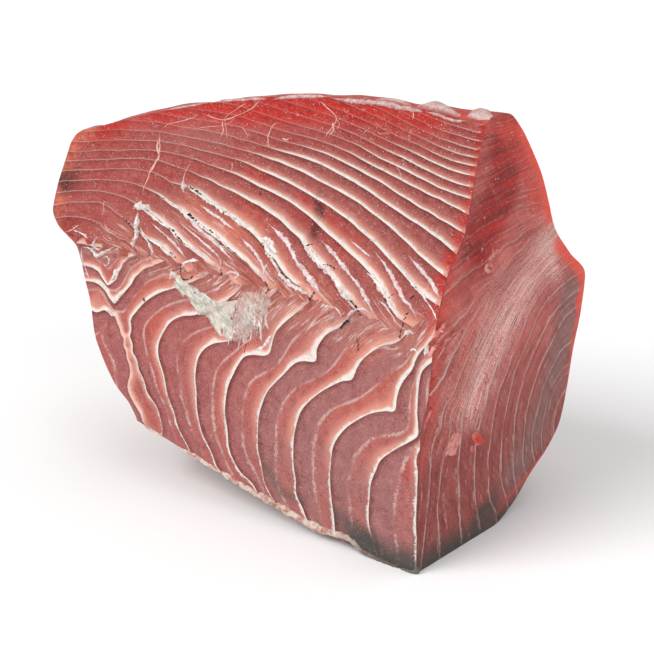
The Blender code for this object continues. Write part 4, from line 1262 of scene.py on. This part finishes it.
# Skin and fat remnant: the pale, brown-stained rind left along the keel edge when the belly was cut away.
rind, shader = new_material("rind")
fine, middling, broad = grain(1100.0, 3.0), grain(240.0, 5.0, 0.7), grain(90.0, 4.0)
x_at, _, _ = object_place()
tone = middling.rise(0.42, 0.66).mix((0.70, 0.58, 0.50), (0.46, 0.20, 0.15))
tone = broad.rise(0.52, 0.66).mix(tone, (0.38, 0.085, 0.060))
tone = (middling * 0.5 + fine * 0.5).rise(0.56, 0.70).mix(tone, (0.13, 0.065, 0.045))
tone = ((x_at + (broad - 0.5) * 0.03).rise(0.085, 0.12) * 0.85).mix(tone, (0.085, 0.078, 0.068))
finish_material(shader, tone, 0.42 + 0.2 * middling, fine * 0.7 + middling, 0.0016)
RIND = [
    ([(144, 433), (154, 440), (166, 444)], 2.4, 1.0),
    ([(180, 448), (190, 455), (200, 461), (214, 470), (226, 479)], 4.0, 0.9),
    ([(214, 467), (226, 476), (240, 487), (255, 496), (270, 504), (285, 511)], 5.6, 1.1),
    ([(262, 500), (280, 509), (296, 517), (310, 524), (324, 531), (338, 538)], 6.2, 1.2),
    ([(320, 526), (335, 533), (350, 540), (362, 549)], 4.6, 1.0),
    ([(350, 543), (362, 551), (378, 560), (392, 568), (404, 571)], 3.0, 1.2),
    ([(398, 569), (408, 572), (418, 572), (428, 569)], 3.2, 1.4),
]
gathered("rind_remnants", strips(RIND, 1200, torn=0.22, sink=1.0, across=11), rind)


# Film lumps: clear, greyish film bunched up along the top edge by the square cut, wet and slack.
film, shader = new_material("slack_film")
rim_of, _, _ = carried("lie")
fine, middling, broad = grain(1100.0, 3.0), grain(260.0, 5.0, 0.7), grain(80.0, 4.0)
tone = middling.rise(0.35, 0.62).mix((0.40, 0.17, 0.155), (0.54, 0.42, 0.40))
tone = (rim_of + (middling - 0.5)).rise(0.6, 1.1).mix(tone, (0.44, 0.105, 0.088))
tone = broad.rise(0.52, 0.72).mix(tone, (0.44, 0.125, 0.105))
tone = (flecks(400.0, 0.25, 0.2) * 0.6).mix(tone, (0.80, 0.70, 0.68))
finish_material(shader, tone, 0.28 + 0.2 * middling, fine * 0.3 + middling * 0.5, 0.0010, 1.0)
FILM = [
    ([(330, 98), (345, 100), (360, 102), (378, 103), (396, 106), (412, 110)], 3.4, 0.9),
    ([(384, 104), (398, 107), (410, 109), (424, 112)], 3.0, 1.1),
    ([(426, 111), (436, 114), (448, 119), (458, 121), (468, 121)], 2.2, 1.4),
    ([(210, 101), (225, 100), (240, 100), (256, 99), (268, 99)], 2.2, 0.7),
    ([(166, 106), (180, 105), (195, 103), (208, 102)], 1.6, 0.6),
    ([(270, 100), (290, 97), (310, 96), (330, 97)], 2.4, 0.7),
]
HUMPS = [
    ([(412, 108), (420, 105), (432, 105), (446, 108), (458, 112), (466, 117), (458, 119), (446, 117),
      (432, 113), (420, 111)], 2.8),
    ([(464, 117), (470, 112), (480, 110), (490, 112), (499, 118), (494, 122), (482, 122),
      (472, 120)], 2.8),
    ([(372, 100), (388, 101), (400, 103), (414, 106), (404, 109), (390, 107)], 1.8),
]
gathered("film_lumps",
         strips(FILM, 1400, torn=0.25, sink=0.8, across=11)
         + [pad(line, height, 0.5, 1450 + 9 * k, on_top, wave=45.0, count=48)
            for k, (line, height) in enumerate(HUMPS)], film)


# Shreds on the square cut: small soft rags of flesh that the saw pulled up, redder where they are thick.
shred, shader = new_material("flesh_shred")
rim_of, _, thick_red = carried("lie")
fine, middling = grain(1100.0, 3.0), grain(260.0, 4.0)
tone = middling.rise(0.35, 0.65).mix((0.50, 0.12, 0.10), (0.66, 0.30, 0.26))
tone = (thick_red * (1.2 - rim_of)).rise(0.0, 0.8).mix(tone, (0.56, 0.035, 0.026))
finish_material(shader, tone, 0.36 + 0.2 * middling, fine * 0.5 + middling, 0.001, 1.0)
SHREDS = [
    ([(490, 247), (492, 253), (488, 260), (489, 266), (492, 272)], 3.0, 1.2),
    ([(487, 262), (484, 268), (490, 271)], 2.6, 1.0),
    ([(448, 440), (446, 448), (444, 457)], 2.0, 0.7),
    ([(440, 347), (445, 340), (452, 333), (460, 327)], 1.6, 0.7),
    ([(432, 338), (437, 331), (444, 322)], 3.0, 1.4),
    ([(428, 356), (432, 348), (438, 343)], 2.4, 1.0),
]
BLOBS = [
    ([(457, 428), (460, 432), (460, 440), (457, 448), (453, 455), (448, 456), (446, 450), (447, 442),
      (451, 434)], 0.8, 0.15),
    ([(470, 433), (475, 430.5), (480, 432.5), (481.5, 437), (480, 442), (476, 445), (472, 442.5),
      (470, 438)], 1.8, 1.0),
    ([(470, 444), (473, 447), (471, 452), (468, 449)], 0.8, 0.6),
]
gathered("flesh_shreds",
         strips(SHREDS, 1600, onto=on_end)
         + [pad(line, height, red, 1700 + 9 * k, on_end, wave=12.0, count=32)
            for k, (line, height, red) in enumerate(BLOBS)], shred)


# The eye, at the photograph's place and angle. Its lens gives the photograph's focal length in pixels.
SENSOR_WIDTH = 36.0
camera = bpy.data.objects.new("camera", bpy.data.cameras.new("camera"))
bpy.context.scene.collection.objects.link(camera)
camera.data.sensor_width = SENSOR_WIDTH
camera.data.lens = FOCAL * SENSOR_WIDTH / (2 * PHOTO_MIDDLE)
turn = np.eye(4)
turn[:3, 0], turn[:3, 1], turn[:3, 2], turn[:3, 3] = RIGHT, UP, BACK, to_frame(EYE)
camera.matrix_world = turn.T.tolist()
camera.data.clip_end = 120.0
bpy.context.scene.camera = camera

# A pale table top under the block, and large soft lamps on both sides of the eye.
FLOOR_REACH = 40.0
floor_mesh = bpy.data.meshes.new("floor")
floor_corners = [(x * FLOOR_REACH, y * FLOOR_REACH, 0) for x, y in ((-1, -1), (1, -1), (1, 1), (-1, 1))]
floor_mesh.from_pydata(floor_corners, [], [(0, 1, 2, 3)])
floor_paint, shader = new_material("floor_paint")
shader.inputs["Base Color"].default_value = (0.86, 0.86, 0.86, 1.0)
shader.inputs["Roughness"].default_value = 0.8
floor_mesh.materials.append(floor_paint)
floor = bpy.data.objects.new("floor", floor_mesh)
bpy.context.scene.collection.objects.link(floor)

# Each lamp: its name, where it stands, its width in degrees and its power.
LAMPS = [("key", (-0.50, -1.0, 0.95), 40.0, 2.45), ("fill", (1.1, -0.6, 0.6), 50.0, 1.0),
         ("top", (0.2, 0.5, 1.4), 60.0, 0.7)]
for name, towards, width, power in LAMPS:
    lamp = bpy.data.objects.new(name, bpy.data.lights.new(name, "SUN"))
    lamp.data.angle, lamp.data.energy = math.radians(width), power
    aim = -np.array(towards) / np.linalg.norm(towards)
    across = np.cross(aim, (0, 0, 1))
    across /= np.linalg.norm(across)
    stand = np.eye(4)
    stand[:3, 0], stand[:3, 1], stand[:3, 2], stand[:3, 3] = across, np.cross(across, aim), -aim, -aim
    lamp.matrix_world = stand.T.tolist()
    bpy.context.scene.collection.objects.link(lamp)
world = bpy.data.worlds.new("studio")
world.use_nodes = True
world.node_tree.nodes["Background"].inputs["Color"].default_value = (1.0, 1.0, 1.0, 1.0)
world.node_tree.nodes["Background"].inputs["Strength"].default_value = 0.42
bpy.context.scene.world = world
bpy.context.scene.view_settings.view_transform = "Standard"
